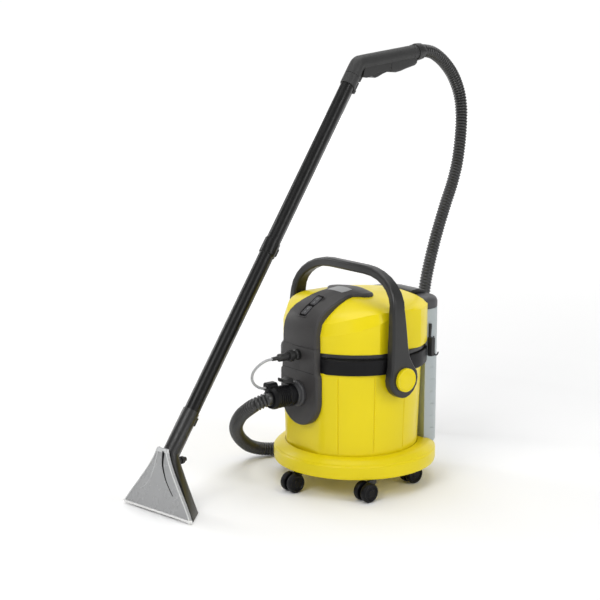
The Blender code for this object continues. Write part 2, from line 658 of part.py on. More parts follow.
def make_tank():
    loops = [tank_loop(0.004, TANK_LOW), tank_loop(0.0, TANK_LOW + 0.004), tank_loop(0.0, TANK_TOP),
             tank_loop(0.0025, TANK_TOP), tank_loop(0.0025, TANK_LOW + 0.0055),
             tank_loop(0.0060, TANK_LOW + 0.0030)]
    loft("clean_tank", loops, "tank_plastic")
    lid_rows = [(0.0120, LID_TOP), (0.0070, 0.4325), (0.0025, 0.4290), (0.0, 0.4230),
                (0.0, TANK_TOP + GAP), (0.0030, TANK_TOP + GAP), (0.0030, 0.4220),
                (0.0140, LID_TOP - 0.003)]
    lid = loft("tank_lid", [tank_loop(inset, height) for inset, height in lid_rows],
               "grey_plastic")
    cut(lid, block("cut_fill_mouth", (-0.030, 0.1430, 0.42), (0.045, 0.1740, 0.46), "steel",
                   corner=0.006))
    outline = [(FLAP_HINGE_Y, 0.4360), (FLAP_HINGE_Y, 0.4400), (0.150, 0.4460), (0.134, 0.4450),
               (0.1285, 0.4420), (0.1300, 0.4385), (0.1400, 0.4350), (0.1780, 0.4345)]
    points = [Vector((0.0, y, z)) for y, z in outline]
    prism("fill_flap", points, ACROSS * -0.036, ACROSS * 0.052, "black_plastic",
          (0.0, FLAP_HINGE_Y, FLAP_HINGE_Z))
    pickup = [(0.0090, 0.0860), (0.0100, 0.0900), (0.0100, 0.1080), (0.0040, 0.1120),
              (0.0040, 0.4150)]
    turned("pickup_tube", pickup, (-0.092, 0.150, 0.0), (0, 0, 1), "grey_plastic", 12)
    for name, sign in (("right", 1), ("left", -1)):
        make_tank_fittings(name, sign)


CLIP_HINGE_Z = 0.3130


def make_tank_fittings(name, sign):
    """A clip that swings out from the tank's side, and the bracket beside it on the band."""
    x = sign * (TANK_HALF_WIDTH + 0.0006)
    outline = [(0.0, CLIP_HINGE_Z), (0.0010, 0.3112), (0.0035, 0.3112), (0.0048, 0.3160),
               (0.0030, 0.3450), (0.0052, 0.3680), (0.0045, 0.3740), (0.0, 0.3740)]
    points = [Vector((x + sign * reach, 0.0, z)) for reach, z in outline]
    prism("tank_clip_" + name, points, Vector((0.0, 0.1340, 0.0)), Vector((0.0, 0.1395, 0.0)),
          "black_plastic", (x + sign * 0.002, 0.1367, CLIP_HINGE_Z))
    corners = [(0.1180, 0.1228), (0.1262, 0.1185), (0.1330, 0.1225), (0.1330, 0.1330),
               (0.1180, 0.1330)]
    base = [Vector((sign * px, py, 0.0)) for px, py in corners]
    prism("tank_bracket_" + name, base, Vector((0, 0, 0.3000)), Vector((0, 0, 0.3440)),
          "black_plastic")


# ---------------------------------------------------------------- castors

def castor_trail(place):
    """How far behind its stem a castor's axle lies; the left one stands turned round."""
    return -CASTOR_TRAIL if place == "left" else CASTOR_TRAIL


def make_castor(place, x, y):
    """A stem and web, and a pair of wheels on one axle."""
    trail = castor_trail(place)
    turn = trail / CASTOR_TRAIL
    outline = [(0.0095, 0.0468), (0.0095, 0.0400), (0.0, 0.0260), (-0.0150, 0.0140),
               (-0.0260, 0.0140), (-0.0300, 0.0225), (-0.0260, 0.0340), (-0.0120, 0.0468)]
    points = [Vector((x, y + along * turn, z)) for along, z in outline]
    web = prism("castor_fork_" + place, points, ACROSS * -0.0036, ACROSS * 0.0036, "black_plastic",
                (x, y, 0.0468))
    stem = turned("join_stem_" + place, [(0.0050, 0.0440), (0.0050, 0.0566)], (x, y, 0.0),
                  (0, 0, 1), "steel", 10)
    cut(web, stem, "UNION")
    drill(web, "cut_axle_" + place, (x - 0.01, y - trail, WHEEL_RADIUS), (1, 0, 0),
          0.0035, 0.02, 10)
    half = [(WHEEL_RADIUS - 0.0040, WHEEL_OUTER), (WHEEL_RADIUS, WHEEL_OUTER - 0.0045),
            (WHEEL_RADIUS, WHEEL_INNER + 0.0025), (WHEEL_RADIUS - 0.0020, WHEEL_INNER),
            (0.0030, WHEEL_INNER)]
    profile = half + [(radius, -along) for radius, along in reversed(half)]
    turned("castor_wheels_" + place, profile, (x, y - trail, WHEEL_RADIUS), (1, 0, 0),
           "black_plastic", 16)


# ---------------------------------------------------------------- wand

def outline_loop(centre, under, radius, rib=0.0, flat=None):
    """A tube's section: round, with a rib on its underside or a flat cut there."""
    loop = []
    for i in range(OUTLINE_SIDES):
        angle = 2.0 * math.pi * i / OUTLINE_SIDES
        down = radius * math.cos(angle)
        across = radius * math.sin(angle)
        if rib and math.cos(angle) > 0.85:
            down = rib
        if flat is not None:
            down = min(down, flat)
        loop.append(centre + under * down + SIDE * across)
    return loop


def wand_loop(along, radius, rib=0.0):
    return outline_loop(NECK + WAND_UP * along, WAND_UNDER, radius, rib)


def make_wand_tubes():
    cup = JOINT_START + 0.0027
    lower_spigot = SPIGOT_RADIUS - 0.0002
    lower = [wand_loop(0.064, lower_spigot), wand_loop(SLEEVE_END + GAP, lower_spigot),
             wand_loop(SLEEVE_END + GAP, TUBE_RADIUS, RIB_REACH),
             wand_loop(JOINT_START - 0.002, TUBE_RADIUS, RIB_REACH),
             wand_loop(JOINT_START, TUBE_RADIUS + SLEEVE_WALL, RIB_REACH + 0.0020),
             wand_loop(JOINT_AT, TUBE_RADIUS + SLEEVE_WALL, RIB_REACH + 0.0020),
             wand_loop(JOINT_AT, SOCKET_BORE), wand_loop(cup, SOCKET_BORE),
             wand_loop(cup, TUBE_BORE), wand_loop(0.064, TUBE_BORE)]
    tube = loft("wand_tube_lower", lower, "grey_plastic", ring=True)
    cut_latch_pocket(tube, "cut_middle_pocket", LATCH_PLACES["middle"])
    upper = [wand_loop(cup + 0.0008, SPIGOT_RADIUS), wand_loop(JOINT_AT + GAP, SPIGOT_RADIUS),
             wand_loop(JOINT_AT + GAP, TUBE_RADIUS, RIB_REACH),
             wand_loop(HANDLE_START - GAP, TUBE_RADIUS, RIB_REACH),
             wand_loop(HANDLE_START - GAP, SPIGOT_RADIUS), wand_loop(1.0300, SPIGOT_RADIUS),
             wand_loop(1.0300, TUBE_BORE), wand_loop(cup + 0.0008, TUBE_BORE)]
    loft("wand_tube_upper", upper, "grey_plastic", ring=True)


LATCH_PLACES = {"lower": 0.0890, "middle": 0.5328, "upper": 1.0024}
LATCH_LENGTH = 0.020
LATCH_HALF_WIDTH = 0.0050
LATCH_LOW = 0.0210
LATCH_HIGH = 0.0285


def latch_outline(along, grow):
    half_long = LATCH_LENGTH / 2 + grow
    half_wide = LATCH_HALF_WIDTH + grow
    middle = NECK + WAND_UP * along
    return [middle + WAND_UP * a + SIDE * b for a, b in (
        (-half_long, -half_wide), (half_long, -half_wide),
        (half_long, half_wide), (-half_long, half_wide))]


def cut_latch_pocket(piece, name, along):
    """The pocket that a latch button sinks into."""
    pocket = prism(name, latch_outline(along, 0.0005), WAND_UNDER * 0.0190, WAND_UNDER * 0.05,
                   "steel")
    cut(piece, pocket)


def make_latch(name, along):
    middle = NECK + WAND_UP * along + WAND_UNDER * LATCH_LOW
    prism(name, latch_outline(along, 0.0), WAND_UNDER * LATCH_LOW, WAND_UNDER * LATCH_HIGH,
          "black_plastic", middle)


def grip_loop(along, radius, flat=None, rib=0.0):
    return outline_loop(ELBOW + GRIP_ALONG * along, GRIP_UNDER, radius, rib, flat)


def elbow_loops(radius, rib):
    """Sections round the elbow, from the wand's line to the grip's line."""
    start = NECK + WAND_UP * ELBOW_START
    end = ELBOW + GRIP_ALONG * ELBOW_LENGTH
    loops = []
    for share in (0.25, 0.5, 0.75):
        middle = (start * (1 - share) ** 2 + ELBOW * 2 * share * (1 - share) + end * share ** 2)
        run = ((ELBOW - start) * (1 - share) + (end - ELBOW) * share).normalized()
        under = HEADING * run.z - UPWARD * run.dot(HEADING)
        reach = rib * (1 - share) + radius * share if rib else 0.0
        loops.append(outline_loop(middle, under, radius, reach))
    return loops


ELBOW_START = 1.0176
ELBOW_LENGTH = 0.036
GRIP_FLAT = 0.0140
HANDLE_BORE = 0.0112


def make_handle():
    radius = TUBE_RADIUS + SLEEVE_WALL
    rib = RIB_REACH + 0.0015
    loops = [wand_loop(HANDLE_START, radius, rib), wand_loop(ELBOW_START, radius, rib)]
    loops += elbow_loops(radius, rib)
    loops += [grip_loop(ELBOW_LENGTH, radius, GRIP_FLAT), grip_loop(GRIP_END, radius, GRIP_FLAT),
              grip_loop(GRIP_END, GRIP_FLAT), grip_loop(GRIP_END + 0.014, GRIP_FLAT),
              grip_loop(GRIP_END + 0.014, HANDLE_BORE), grip_loop(ELBOW_LENGTH, HANDLE_BORE)]
    loops += list(reversed(elbow_loops(HANDLE_BORE, 0.0)))
    loops += [wand_loop(1.0315, HANDLE_BORE), wand_loop(1.0315, SOCKET_BORE),
              wand_loop(HANDLE_START, SOCKET_BORE)]
    handle = loft("handle_grip", loops, "grey_plastic", ring=True)
    cut_latch_pocket(handle, "cut_handle_pocket", LATCH_PLACES["upper"])
    collar = [(0.0146, 0.0), (0.0210, 0.0), (0.0220, 0.006), (0.0210, 0.022), (0.0185, 0.0276),
              (0.0146, 0.0276)]
    turned("hose_collar", collar, ELBOW + GRIP_ALONG * (GRIP_END + GAP), GRIP_ALONG,
           "black_plastic", 16, ring=True)


def grip_place(along, under):
    return ELBOW + GRIP_ALONG * along + GRIP_UNDER * under


TRIGGER_PIVOT = (0.0990, 0.0250)
VALVE_DEPTH = 0.0215


def make_trigger_parts():
    under_rows = [(0.1170, 0.0300), (0.1380, 0.0330), (0.1800, 0.0315), (0.2170, 0.0250)]
    loops = []
    for along, reach in under_rows:
        section = [(0.0144, 0.0125), (reach - 0.004, 0.0130), (reach, 0.0085),
                   (reach, -0.0085), (reach - 0.004, -0.0130), (0.0144, -0.0125)]
        loops.append([grip_place(along, under) + SIDE * across for under, across in section])
    cover = loft("handle_under", loops, "black_plastic")
    drill(cover, "cut_valve_pocket", grip_place(0.1080, VALVE_DEPTH), GRIP_ALONG, 0.0062, 0.052, 12)
    outline = [(0.0370, 0.0255), (0.0400, 0.0370), (0.0500, 0.0415), (0.0620, 0.0400),
               (0.0790, 0.0355), (0.1030, 0.0320), (0.1080, 0.0275), (0.1080, 0.0185),
               (0.0720, 0.0180), (0.0480, 0.0200)]
    points = [grip_place(along, under) for along, under in outline]
    prism("trigger", points, SIDE * -0.0105, SIDE * 0.0105, "black_plastic",
          grip_place(*TRIGGER_PIVOT))
    turned("spray_valve", [(0.0056, 0.0), (0.0056, 0.038)], grip_place(0.1205, VALVE_DEPTH),
           GRIP_ALONG, "steel", 12)
    turned("valve_stem", [(0.0018, 0.0), (0.0018, 0.0090)], grip_place(0.1090, VALVE_DEPTH),
           GRIP_ALONG, "steel", 8)


# ---------------------------------------------------------------- floor nozzle

def nozzle_loop(share, inset=0.0):
    """A section between the neck, share 0, and the rim near the floor, share 1."""
    loop = []
    radius = TUBE_RADIUS + SLEEVE_WALL - inset
    reach = RIB_REACH + 0.0015 - inset
    spread = share ** 1.12
    for i, point in enumerate(outline_loop(NECK, WAND_UNDER, radius, reach)):
        angle = 2.0 * math.pi * i / OUTLINE_SIDES
        larger = max(abs(math.cos(angle)), abs(math.sin(angle)))
        back = (math.cos(angle) / larger + 1.0) / 2.0
        half = NOZZLE_HALF_WIDTH * (1 - back) + NOZZLE_BACK_HALF_WIDTH * back - 0.0015 - inset
        forward = (NOZZLE_FRONT + inset) * (1 - back) + (NOZZLE_BACK - inset) * back
        start = point - FOOT
        place = HEADING * (start.dot(HEADING) * (1 - share) + forward * share)
        place += SIDE * (start.dot(SIDE) * (1 - spread) + half * math.sin(angle) / larger * spread)
        place += UPWARD * (start.z * (1 - share) + NOZZLE_RIM * share)
        loop.append(FOOT + place)
    return loop


def cover_outline(inset, start, end):
    """The nozzle cover's fan shape from start to end, as its half-widths down its length."""
    rows = [(0.0, 0.0215), (0.020, 0.0300), (0.050, 0.0470), (0.090, 0.0735), (0.120, 0.0945),
            (COVER_LENGTH, NOZZLE_HALF_WIDTH)]
    rows = [(clamp(along, start, end), half - inset) for along, half in rows]
    rows[-1] = (end, rows[-1][1])
    right = [COVER_TOP + COVER_DOWN * along + SIDE * half for along, half in rows]
    left = [COVER_TOP + COVER_DOWN * along - SIDE * half for along, half in reversed(rows)]
    return right + left


def make_nozzle():
    loops = [wand_loop(0.062, SOCKET_BORE), wand_loop(SLEEVE_END, SOCKET_BORE)]
    loops += [wand_loop(along, TUBE_RADIUS + SLEEVE_WALL, RIB_REACH + 0.0015)
              for along in (SLEEVE_END, 0.0)]
    loops += [nozzle_loop(share) for share in (0.2, 0.45, 0.7, 1.0)]
    loops += [nozzle_loop(share, 0.0030) for share in (1.0, 0.7, 0.5)]
    body = loft("nozzle_body", loops, "black_plastic")
    cut_latch_pocket(body, "cut_lower_pocket", LATCH_PLACES["lower"])
    cover = prism("nozzle_cover", cover_outline(0.0, 0.0, COVER_LENGTH), COVER_OUT * 0.0,
                  COVER_OUT * COVER_DEPTH, "clear_plastic")
    channel = prism("cut_cover_channel", cover_outline(0.0045, 0.010, COVER_LENGTH + 0.02),
                    COVER_OUT * -0.01, COVER_OUT * (COVER_DEPTH - 0.0025), "steel")
    cut(cover, channel)
    jet = [(0.0060, 0.0), (0.0060, 0.006), (0.0090, 0.007), (0.0090, 0.014), (0.0055, 0.016),
           (0.0055, 0.022)]
    turned("spray_jet", jet, FOOT + HEADING * 0.0700 + UPWARD * 0.1070, HEADING,
           "black_plastic", 12)


# ---------------------------------------------------------------- free hoses

def smooth_route(route, count):
    """Evenly spaced points on a smooth curve through the route's own points."""
    knots = [Vector(point) for point in route]
    knots = [knots[0] * 2 - knots[1]] + knots + [knots[-1] * 2 - knots[-2]]
    fine = []
    for i in range(1, len(knots) - 2):
        a, b, c, d = knots[i - 1:i + 3]
        for step in range(24):
            t = step / 24
            fine.append(0.5 * (b * 2 + (c - a) * t + (a * 2 - b * 5 + c * 4 - d) * t ** 2
                               + (b * 3 - a - c * 3 + d) * t ** 3))
    fine.append(knots[-2])
    lengths = [0.0]
    for before, after in zip(fine, fine[1:]):
        lengths.append(lengths[-1] + (after - before).length)
    points = []
    at = 0
    for i in range(count):
        target = lengths[-1] * i / (count - 1)
        while at < len(lengths) - 2 and lengths[at + 1] < target:
            at += 1
        share = (target - lengths[at]) / (lengths[at + 1] - lengths[at])
        points.append(fine[at].lerp(fine[at + 1], min(share, 1.0)))
    return points


def make_cord(name, start, route, end, count, radius, finish):
    """A plain round cord: a smooth route between two short straight ends."""
    line = bpy.data.curves.new(name, "CURVE")
    line.dimensions = "3D"
    line.bevel_depth = radius
    line.bevel_resolution = 2
    line.use_fill_caps = True
    spline = line.splines.new("POLY")
    points = [Vector(start)] + smooth_route(route, count) + [Vector(end)]
    spline.points.add(len(points) - 1)
    for knot, point in zip(spline.points, points):
        knot.co = (*point, 1.0)
    line.materials.append(make_material(name, finish))
    cord = bpy.data.objects.new(name, line)
    bpy.context.scene.collection.objects.link(cord)
    cord.parent = CARRIER


def make_cords():
    start = (0.0, -HOSE_START, INLET_HEIGHT)
    end = ELBOW + GRIP_ALONG * COLLAR_END
    route = [(0.0, -HOSE_START - HOSE_STUB, INLET_HEIGHT)] + HOSE_ROUTE
    route.append(tuple(end + GRIP_ALONG * HOSE_STUB))
    make_cord("suction_hose", start, route, end, HOSE_POINTS, HOSE_RADIUS, "hose_plastic")
    start = (0.0, -0.2494, 0.3255)
    end = (-0.012, -0.2567, 0.2575)
    make_cord("spray_tube", start, SPRAY_ROUTE, end, SPRAY_TUBE_POINTS, SPRAY_TUBE_RADIUS,
              "clear_plastic")


# ---------------------------------------------------------------- assembly

clear_scene()
CARRIER = make_carrier()
make_base_ring()
make_container()
make_rim_band()
make_head_gasket()
make_head_shell()
make_motor_plate()
make_console_top()
make_switch("switch_suction", -0.0165)
make_switch("switch_spray", 0.0165)
make_motor()
make_float_parts()
make_cord_gland()
make_inlet()
make_machine_cuff()
make_cuff_lever()
make_spray_coupling()
make_bail()
make_tank()
for castor_place, (castor_x, castor_y) in CASTOR_PLACES.items():
    make_castor(castor_place, castor_x, castor_y)
make_wand_tubes()
make_handle()
for latch_place, latch_along in LATCH_PLACES.items():
    make_latch("latch_" + latch_place, latch_along)
make_trigger_parts()
make_nozzle()
make_cords()
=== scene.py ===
"""Looks of the spray-extraction cleaner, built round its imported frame: camera, hoses, fine
shells, ribs and trim, and a procedural material for every piece. Metres, +Z up."""

import math

import bmesh
import bpy
from mathutils import Matrix, Vector


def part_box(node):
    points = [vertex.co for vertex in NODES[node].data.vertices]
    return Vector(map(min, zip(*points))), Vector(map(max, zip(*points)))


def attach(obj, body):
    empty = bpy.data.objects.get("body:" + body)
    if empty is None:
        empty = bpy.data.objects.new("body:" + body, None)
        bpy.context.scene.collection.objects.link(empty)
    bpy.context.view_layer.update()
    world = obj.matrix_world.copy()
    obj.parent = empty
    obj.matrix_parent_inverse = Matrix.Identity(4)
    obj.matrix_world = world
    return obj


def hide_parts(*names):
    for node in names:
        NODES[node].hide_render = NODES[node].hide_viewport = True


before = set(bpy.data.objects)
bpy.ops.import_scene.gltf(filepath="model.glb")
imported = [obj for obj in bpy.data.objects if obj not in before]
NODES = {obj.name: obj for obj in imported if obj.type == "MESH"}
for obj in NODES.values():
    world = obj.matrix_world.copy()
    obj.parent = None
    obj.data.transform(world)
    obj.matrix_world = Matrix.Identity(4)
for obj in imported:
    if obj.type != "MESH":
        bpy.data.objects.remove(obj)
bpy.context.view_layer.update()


def box_middle(node):
    """The middle of a CAD node's box."""
    low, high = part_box(node)
    return (low + high) / 2


# The point on the floor under the base ring's centre; the machine's places are measured from it.
RING_MIDDLE = box_middle("base_ring")
PLACE = Vector((RING_MIDDLE.x, RING_MIDDLE.y, 0.0))

# Free hoses, from the machine's place
HOSE_RADIUS = 0.0165
HOSE_GROOVE = 0.0030
HOSE_PITCH = 0.0078
HOSE_START = 0.2566
HOSE_STUB = 0.008
HOSE_POINTS = 56
INLET_HEIGHT = 0.234
SPRAY_TUBE_RADIUS = 0.003
SPRAY_TUBE_POINTS = 22
HOSE_ROUTE = [
    (0.0, -0.2750, 0.2335), (-0.012, -0.2865, 0.2240), (-0.038, -0.2880, 0.2070),
    (-0.075, -0.2790, 0.1850), (-0.120, -0.2590, 0.1540), (-0.165, -0.2300, 0.1210),
    (-0.206, -0.1930, 0.0880), (-0.238, -0.1520, 0.0560), (-0.2550, -0.1090, 0.0300),
    (-0.2480, -0.0600, 0.0180), (-0.2330, 0.0000, 0.0172), (-0.2270, 0.0700, 0.0172),
    (-0.2270, 0.1500, 0.0172), (-0.2280, 0.2300, 0.0172), (-0.2270, 0.3050, 0.0300),
    (-0.2240, 0.3580, 0.0700), (-0.2200, 0.3880, 0.1300), (-0.2160, 0.4060, 0.2000),
    (-0.2130, 0.4160, 0.2800), (-0.2120, 0.4260, 0.3700), (-0.2130, 0.4400, 0.4270),
    (-0.2170, 0.4680, 0.5030), (-0.2230, 0.5060, 0.5840), (-0.2270, 0.5330, 0.6360),
    (-0.2300, 0.5550, 0.6940), (-0.2320, 0.5670, 0.7620), (-0.2320, 0.5690, 0.8210),
    (-0.2310, 0.5600, 0.8710), (-0.2260, 0.5310, 0.9210), (-0.2200, 0.4900, 0.9590),
    (-0.2135, 0.4450, 0.9840),
]
SPRAY_ROUTE = [
    (0.0, -0.2520, 0.3255), (0.0, -0.2650, 0.3245), (0.0, -0.2780, 0.3205), (-0.001, -0.2910, 0.3130),
    (-0.004, -0.3000, 0.3010), (-0.007, -0.3010, 0.2870), (-0.010, -0.2940, 0.2740),
    (-0.012, -0.2800, 0.2630), (-0.012, -0.2680, 0.2580), (-0.012, -0.2600, 0.2575),
]

# The wand's lines, from the machine's place
WAND_YAW = math.radians(8.5)
HEADING = Vector((-math.sin(WAND_YAW), math.cos(WAND_YAW), 0.0))
SIDE = Vector((math.cos(WAND_YAW), math.sin(WAND_YAW), 0.0))
UPWARD = Vector((0.0, 0.0, 1.0))
FOOT = Vector((-0.0685, -0.5252, 0.0))
NECK = FOOT + HEADING * 0.0480 + UPWARD * 0.1320
WAND_UP = HEADING * 0.6043 + UPWARD * 0.7967
WAND_UNDER = HEADING * WAND_UP.z - UPWARD * WAND_UP.dot(HEADING)
ELBOW = NECK + WAND_UP * 1.0505
GRIP_ALONG = (HEADING * 0.9961 + UPWARD * 0.0885).normalized()
GRIP_UNDER = HEADING * GRIP_ALONG.z - UPWARD * GRIP_ALONG.dot(HEADING)
COLLAR_END = 0.2484
HANDLE_START = 0.9864
HANDLE_SEAM = 1.0140
HANDLE_SOCKET = 1.0315
WAND_BORE = 0.0160
LATCH_AT = 1.0024
ELBOW_REACH = 0.009
GRIP_START = 0.024
GRIP_END = 0.2200
GRIP_SPIGOT = 0.014
GRIP_FLAT = 0.0140
GRIP_RADIUS = 0.0190
GRIP_RIB = 0.0235
GRIP_BORE = 0.0112

# Nozzle cover: distances down it, across it and out of it
COVER_TOP = FOOT + HEADING * 0.0280 + UPWARD * 0.1475
COVER_DOWN = (HEADING * -0.0195 - UPWARD * 0.1435).normalized()
COVER_OUT = HEADING * COVER_DOWN.z - UPWARD * COVER_DOWN.dot(HEADING)
COVER_LENGTH = 0.1450
COVER_ROWS = [(0.0, 0.0150), (0.010, 0.0185), (0.022, 0.0240), (0.036, 0.0320), (0.050, 0.0410),
              (0.070, 0.0555), (0.090, 0.0705), (0.110, 0.0860), (0.128, 0.0990), (0.1450, 0.1095)]
# Points of a raised line painted pale: a painted highlight along a rib.
RIB_HIGHLIGHT_LINE = [(0.006, -0.0115), (0.022, -0.0140), (0.044, -0.0186), (0.064, -0.0245),
            (0.082, -0.0340), (0.096, -0.0470), (0.104, -0.0600)]
# Points of a raised line painted black: a painted shadow in the spray duct's channel.
CHANNEL_SHADOW_LINE = [(0.006, 0.0072), (0.022, 0.0072), (0.038, 0.0086), (0.063, 0.0198),
             (0.082, 0.0330), (0.099, 0.0480)]

# Tub and head
TUB_Y = -0.010
TUB_WALL = 0.003
FRONT_FLAT = -0.1567
BACK_FLAT = 0.1175
HEAD_LOW = 0.337
HEAD_RADIUS = 0.1695
HEAD_BACK = 0.122
HEAD_SIDE = 0.1578
HEAD_WALL = 0.003
CROWN_HEIGHT = 0.4545
WALL_TOP = 0.4255
PANEL_LINES = (-128.0, -98.0, -82.0, -52.0, -22.0, 8.0, 38.0, 142.0, 172.0, 202.0)
PANEL_GROOVE = 0.0015
PATCH_Y = -0.0480
HOUSING_HALF_WIDTH = 0.066
HOUSING_NECK = 0.0605
HOUSING_FOOT = 0.224
SWITCH_RUN = Vector((0.0, 0.060, 0.040)).normalized()
SWITCH_OUT = Vector((0.0, -SWITCH_RUN.z, SWITCH_RUN.y))
SWITCH_CENTRE = Vector((0.0, -0.1328, 0.4332))
ACROSS = Vector((1.0, 0.0, 0.0))

# Castors: swivel axes, and how far behind each its axle lies; the left one stands turned round
CASTOR_PLACES = {
    "front": (0.0, -0.170),
    "right": (0.159, -0.083),
    "left": (-0.159, -0.083),
    "rear_right": (0.121, 0.092),
    "rear_left": (-0.121, 0.092),
}
CASTOR_TRAIL = {"front": 0.020, "right": 0.020, "left": -0.020, "rear_right": 0.020,
                "rear_left": 0.020}
WHEEL_RADIUS = 0.0225

WORLD_STRENGTH = 0.37


# ---------------------------------------------------------------- camera, light and floor

def make_camera():
    lens = bpy.data.cameras.new("camera")
    lens.sensor_width = 36.0
    lens.lens = 92.28
    camera = bpy.data.objects.new("camera", lens)
    bpy.context.scene.collection.objects.link(camera)
    camera.location = PLACE + Vector((2.6691, -2.3290, 1.16))
    camera.rotation_euler = (math.radians(78.35), 0.0, math.radians(51.0))
    bpy.context.scene.camera = camera


def make_area_light(name, place, aim, size, power, tint=(1.0, 1.0, 1.0)):
    lamp = bpy.data.lights.new(name, "AREA")
    lamp.shape = "RECTANGLE"
    lamp.size = size[0]
    lamp.size_y = size[1]
    lamp.energy = power
    lamp.color = tint
    holder = bpy.data.objects.new(name, lamp)
    bpy.context.scene.collection.objects.link(holder)
    holder.location = place
    holder.rotation_euler = (Vector(aim) - Vector(place)).to_track_quat("-Z", "Y").to_euler()


def make_studio():
    """A pale floor and sky, and four broad lamps: key, side, top and edge."""
    world = bpy.data.worlds.new("studio")
    world.use_nodes = True
    sky = world.node_tree.nodes["Background"]
    sky.inputs["Color"].default_value = (1.0, 1.0, 1.0, 1.0)
    sky.inputs["Strength"].default_value = WORLD_STRENGTH
    bpy.context.scene.world = world
    bpy.context.scene.view_settings.view_transform = "Standard"
    middle = (0.0, 0.0, 0.35)
    make_area_light("key_light", (0.9, -2.6, 2.6), middle, (1.6, 1.6), 40.0)
    make_area_light("side_light", (3.0, 0.9, 1.7), middle, (0.9, 2.2), 33.0)
    make_area_light("top_light", (-0.4, 0.3, 3.0), middle, (2.4, 2.4), 40.0)
    make_area_light("edge_light", (-2.6, -0.8, 1.3), middle, (0.6, 2.0), 20.0)
    make_floor()
    make_backdrop()


def make_floor():
    """A plain pale floor that glows with distance, so that it meets the backdrop unseen."""
    sheet = bpy.data.meshes.new("floor")
    sheet.from_pydata([(-14, -14, 0), (14, -14, 0), (14, 14, 0), (-14, 14, 0)], [], [(0, 1, 2, 3)])
    floor = bpy.data.objects.new("floor", sheet)
    bpy.context.scene.collection.objects.link(floor)
    surface = bpy.data.materials.new("pale_floor")
    surface.use_nodes = True
    shader = surface.node_tree.nodes["Principled BSDF"]
    shader.inputs["Base Color"].default_value = (0.93, 0.93, 0.93, 1.0)
    shader.inputs["Roughness"].default_value = 0.85
    shader.inputs["Specular IOR Level"].default_value = 0.1
    shader.inputs["Emission Color"].default_value = (1.0, 1.0, 1.0, 1.0)
    tree = surface.node_tree
    place = tree.nodes.new("ShaderNodeTexCoord").outputs["Object"]
    distance = tree.nodes.new("ShaderNodeVectorMath")
    distance.operation = "LENGTH"
    link(tree, place, distance.inputs[0])
    glow = remap(tree, distance.outputs["Value"], 0.0, 0.62, 1.1, 4.2)
    link(tree, glow, shader.inputs["Emission Strength"])
    sheet.materials.append(surface)


def make_backdrop():
    """A bright upright sheet far behind the machine, so the picture's ground is white."""
    sheet = bpy.data.meshes.new("backdrop")
    far = Vector((-7.4, 7.4, 0.0))
    run = Vector((0.707, 0.707, 0.0)) * 9.0
    sheet.from_pydata([far - run - UPWARD, far + run - UPWARD, far + run + UPWARD * 9.0,
                       far - run + UPWARD * 9.0], [], [(0, 1, 2, 3)])
    backdrop = bpy.data.objects.new("backdrop", sheet)
    bpy.context.scene.collection.objects.link(backdrop)
    surface = bpy.data.materials.new("bright_backdrop")
    surface.use_nodes = True
    shader = surface.node_tree.nodes["Principled BSDF"]
    shader.inputs["Base Color"].default_value = (0.0, 0.0, 0.0, 1.0)
    shader.inputs["Specular IOR Level"].default_value = 0.0
    shader.inputs["Emission Color"].default_value = (1.0, 1.0, 1.0, 1.0)
    shader.inputs["Emission Strength"].default_value = 1.02
    sheet.materials.append(surface)


# ---------------------------------------------------------------- materials

def link(tree, source, target):
    tree.links.new(source, target)


def noise(tree, place, scale, detail, stretch=(1.0, 1.0, 1.0)):
    """A noise value in object space."""
    mapping = tree.nodes.new("ShaderNodeMapping")
    mapping.inputs["Scale"].default_value = stretch
    link(tree, place, mapping.inputs["Vector"])
    texture = tree.nodes.new("ShaderNodeTexNoise")
    texture.inputs["Scale"].default_value = scale
    texture.inputs["Detail"].default_value = detail
    link(tree, mapping.outputs["Vector"], texture.inputs["Vector"])
    return texture.outputs["Fac"]


def remap(tree, value, low, high, start=0.3, end=0.7):
    """A value between start and end, carried to between low and high."""
    node = tree.nodes.new("ShaderNodeMapRange")
    node.inputs["From Min"].default_value = start
    node.inputs["From Max"].default_value = end
    node.inputs["To Min"].default_value = low
    node.inputs["To Max"].default_value = high
    link(tree, value, node.inputs["Value"])
    return node.outputs["Result"]


def moulded(name, colour, rough, grain=900.0, depth=0.00006, vary=0.05, coat=0.0,
            transmission=0.0, scuff=0.06, metallic=0.0, stretch=(1.0, 1.0, 1.0), shine=0.5):
    """Moulded plastic: broad colour drift, a spark-eroded grain and scuffs in the gloss."""
    surface = bpy.data.materials.new(name)
    surface.use_nodes = True
    tree = surface.node_tree
    shader = tree.nodes["Principled BSDF"]
    place = tree.nodes.new("ShaderNodeTexCoord").outputs["Object"]
    ramp = tree.nodes.new("ShaderNodeValToRGB")
    ramp.color_ramp.elements[0].position = 0.30
    ramp.color_ramp.elements[1].position = 0.72
    ramp.color_ramp.elements[0].color = (*[c * (1.0 - vary) for c in colour], 1.0)
    ramp.color_ramp.elements[1].color = (*[min(c * (1.0 + vary), 1.0) for c in colour], 1.0)
    link(tree, noise(tree, place, 6.0, 5.0), ramp.inputs["Fac"])
    link(tree, ramp.outputs["Color"], shader.inputs["Base Color"])
    wear = noise(tree, place, 38.0, 8.0)
    link(tree, remap(tree, wear, rough - scuff, rough + scuff), shader.inputs["Roughness"])
    bump = tree.nodes.new("ShaderNodeBump")
    bump.inputs["Strength"].default_value = 1.0
    bump.inputs["Distance"].default_value = depth
    link(tree, noise(tree, place, grain, 3.0, stretch), bump.inputs["Height"])
    link(tree, bump.outputs["Normal"], shader.inputs["Normal"])
    shader.inputs["Metallic"].default_value = metallic
    shader.inputs["Specular IOR Level"].default_value = shine
    shader.inputs["Coat Weight"].default_value = coat
    shader.inputs["Coat Roughness"].default_value = 0.12
    shader.inputs["Transmission Weight"].default_value = transmission
    return surface


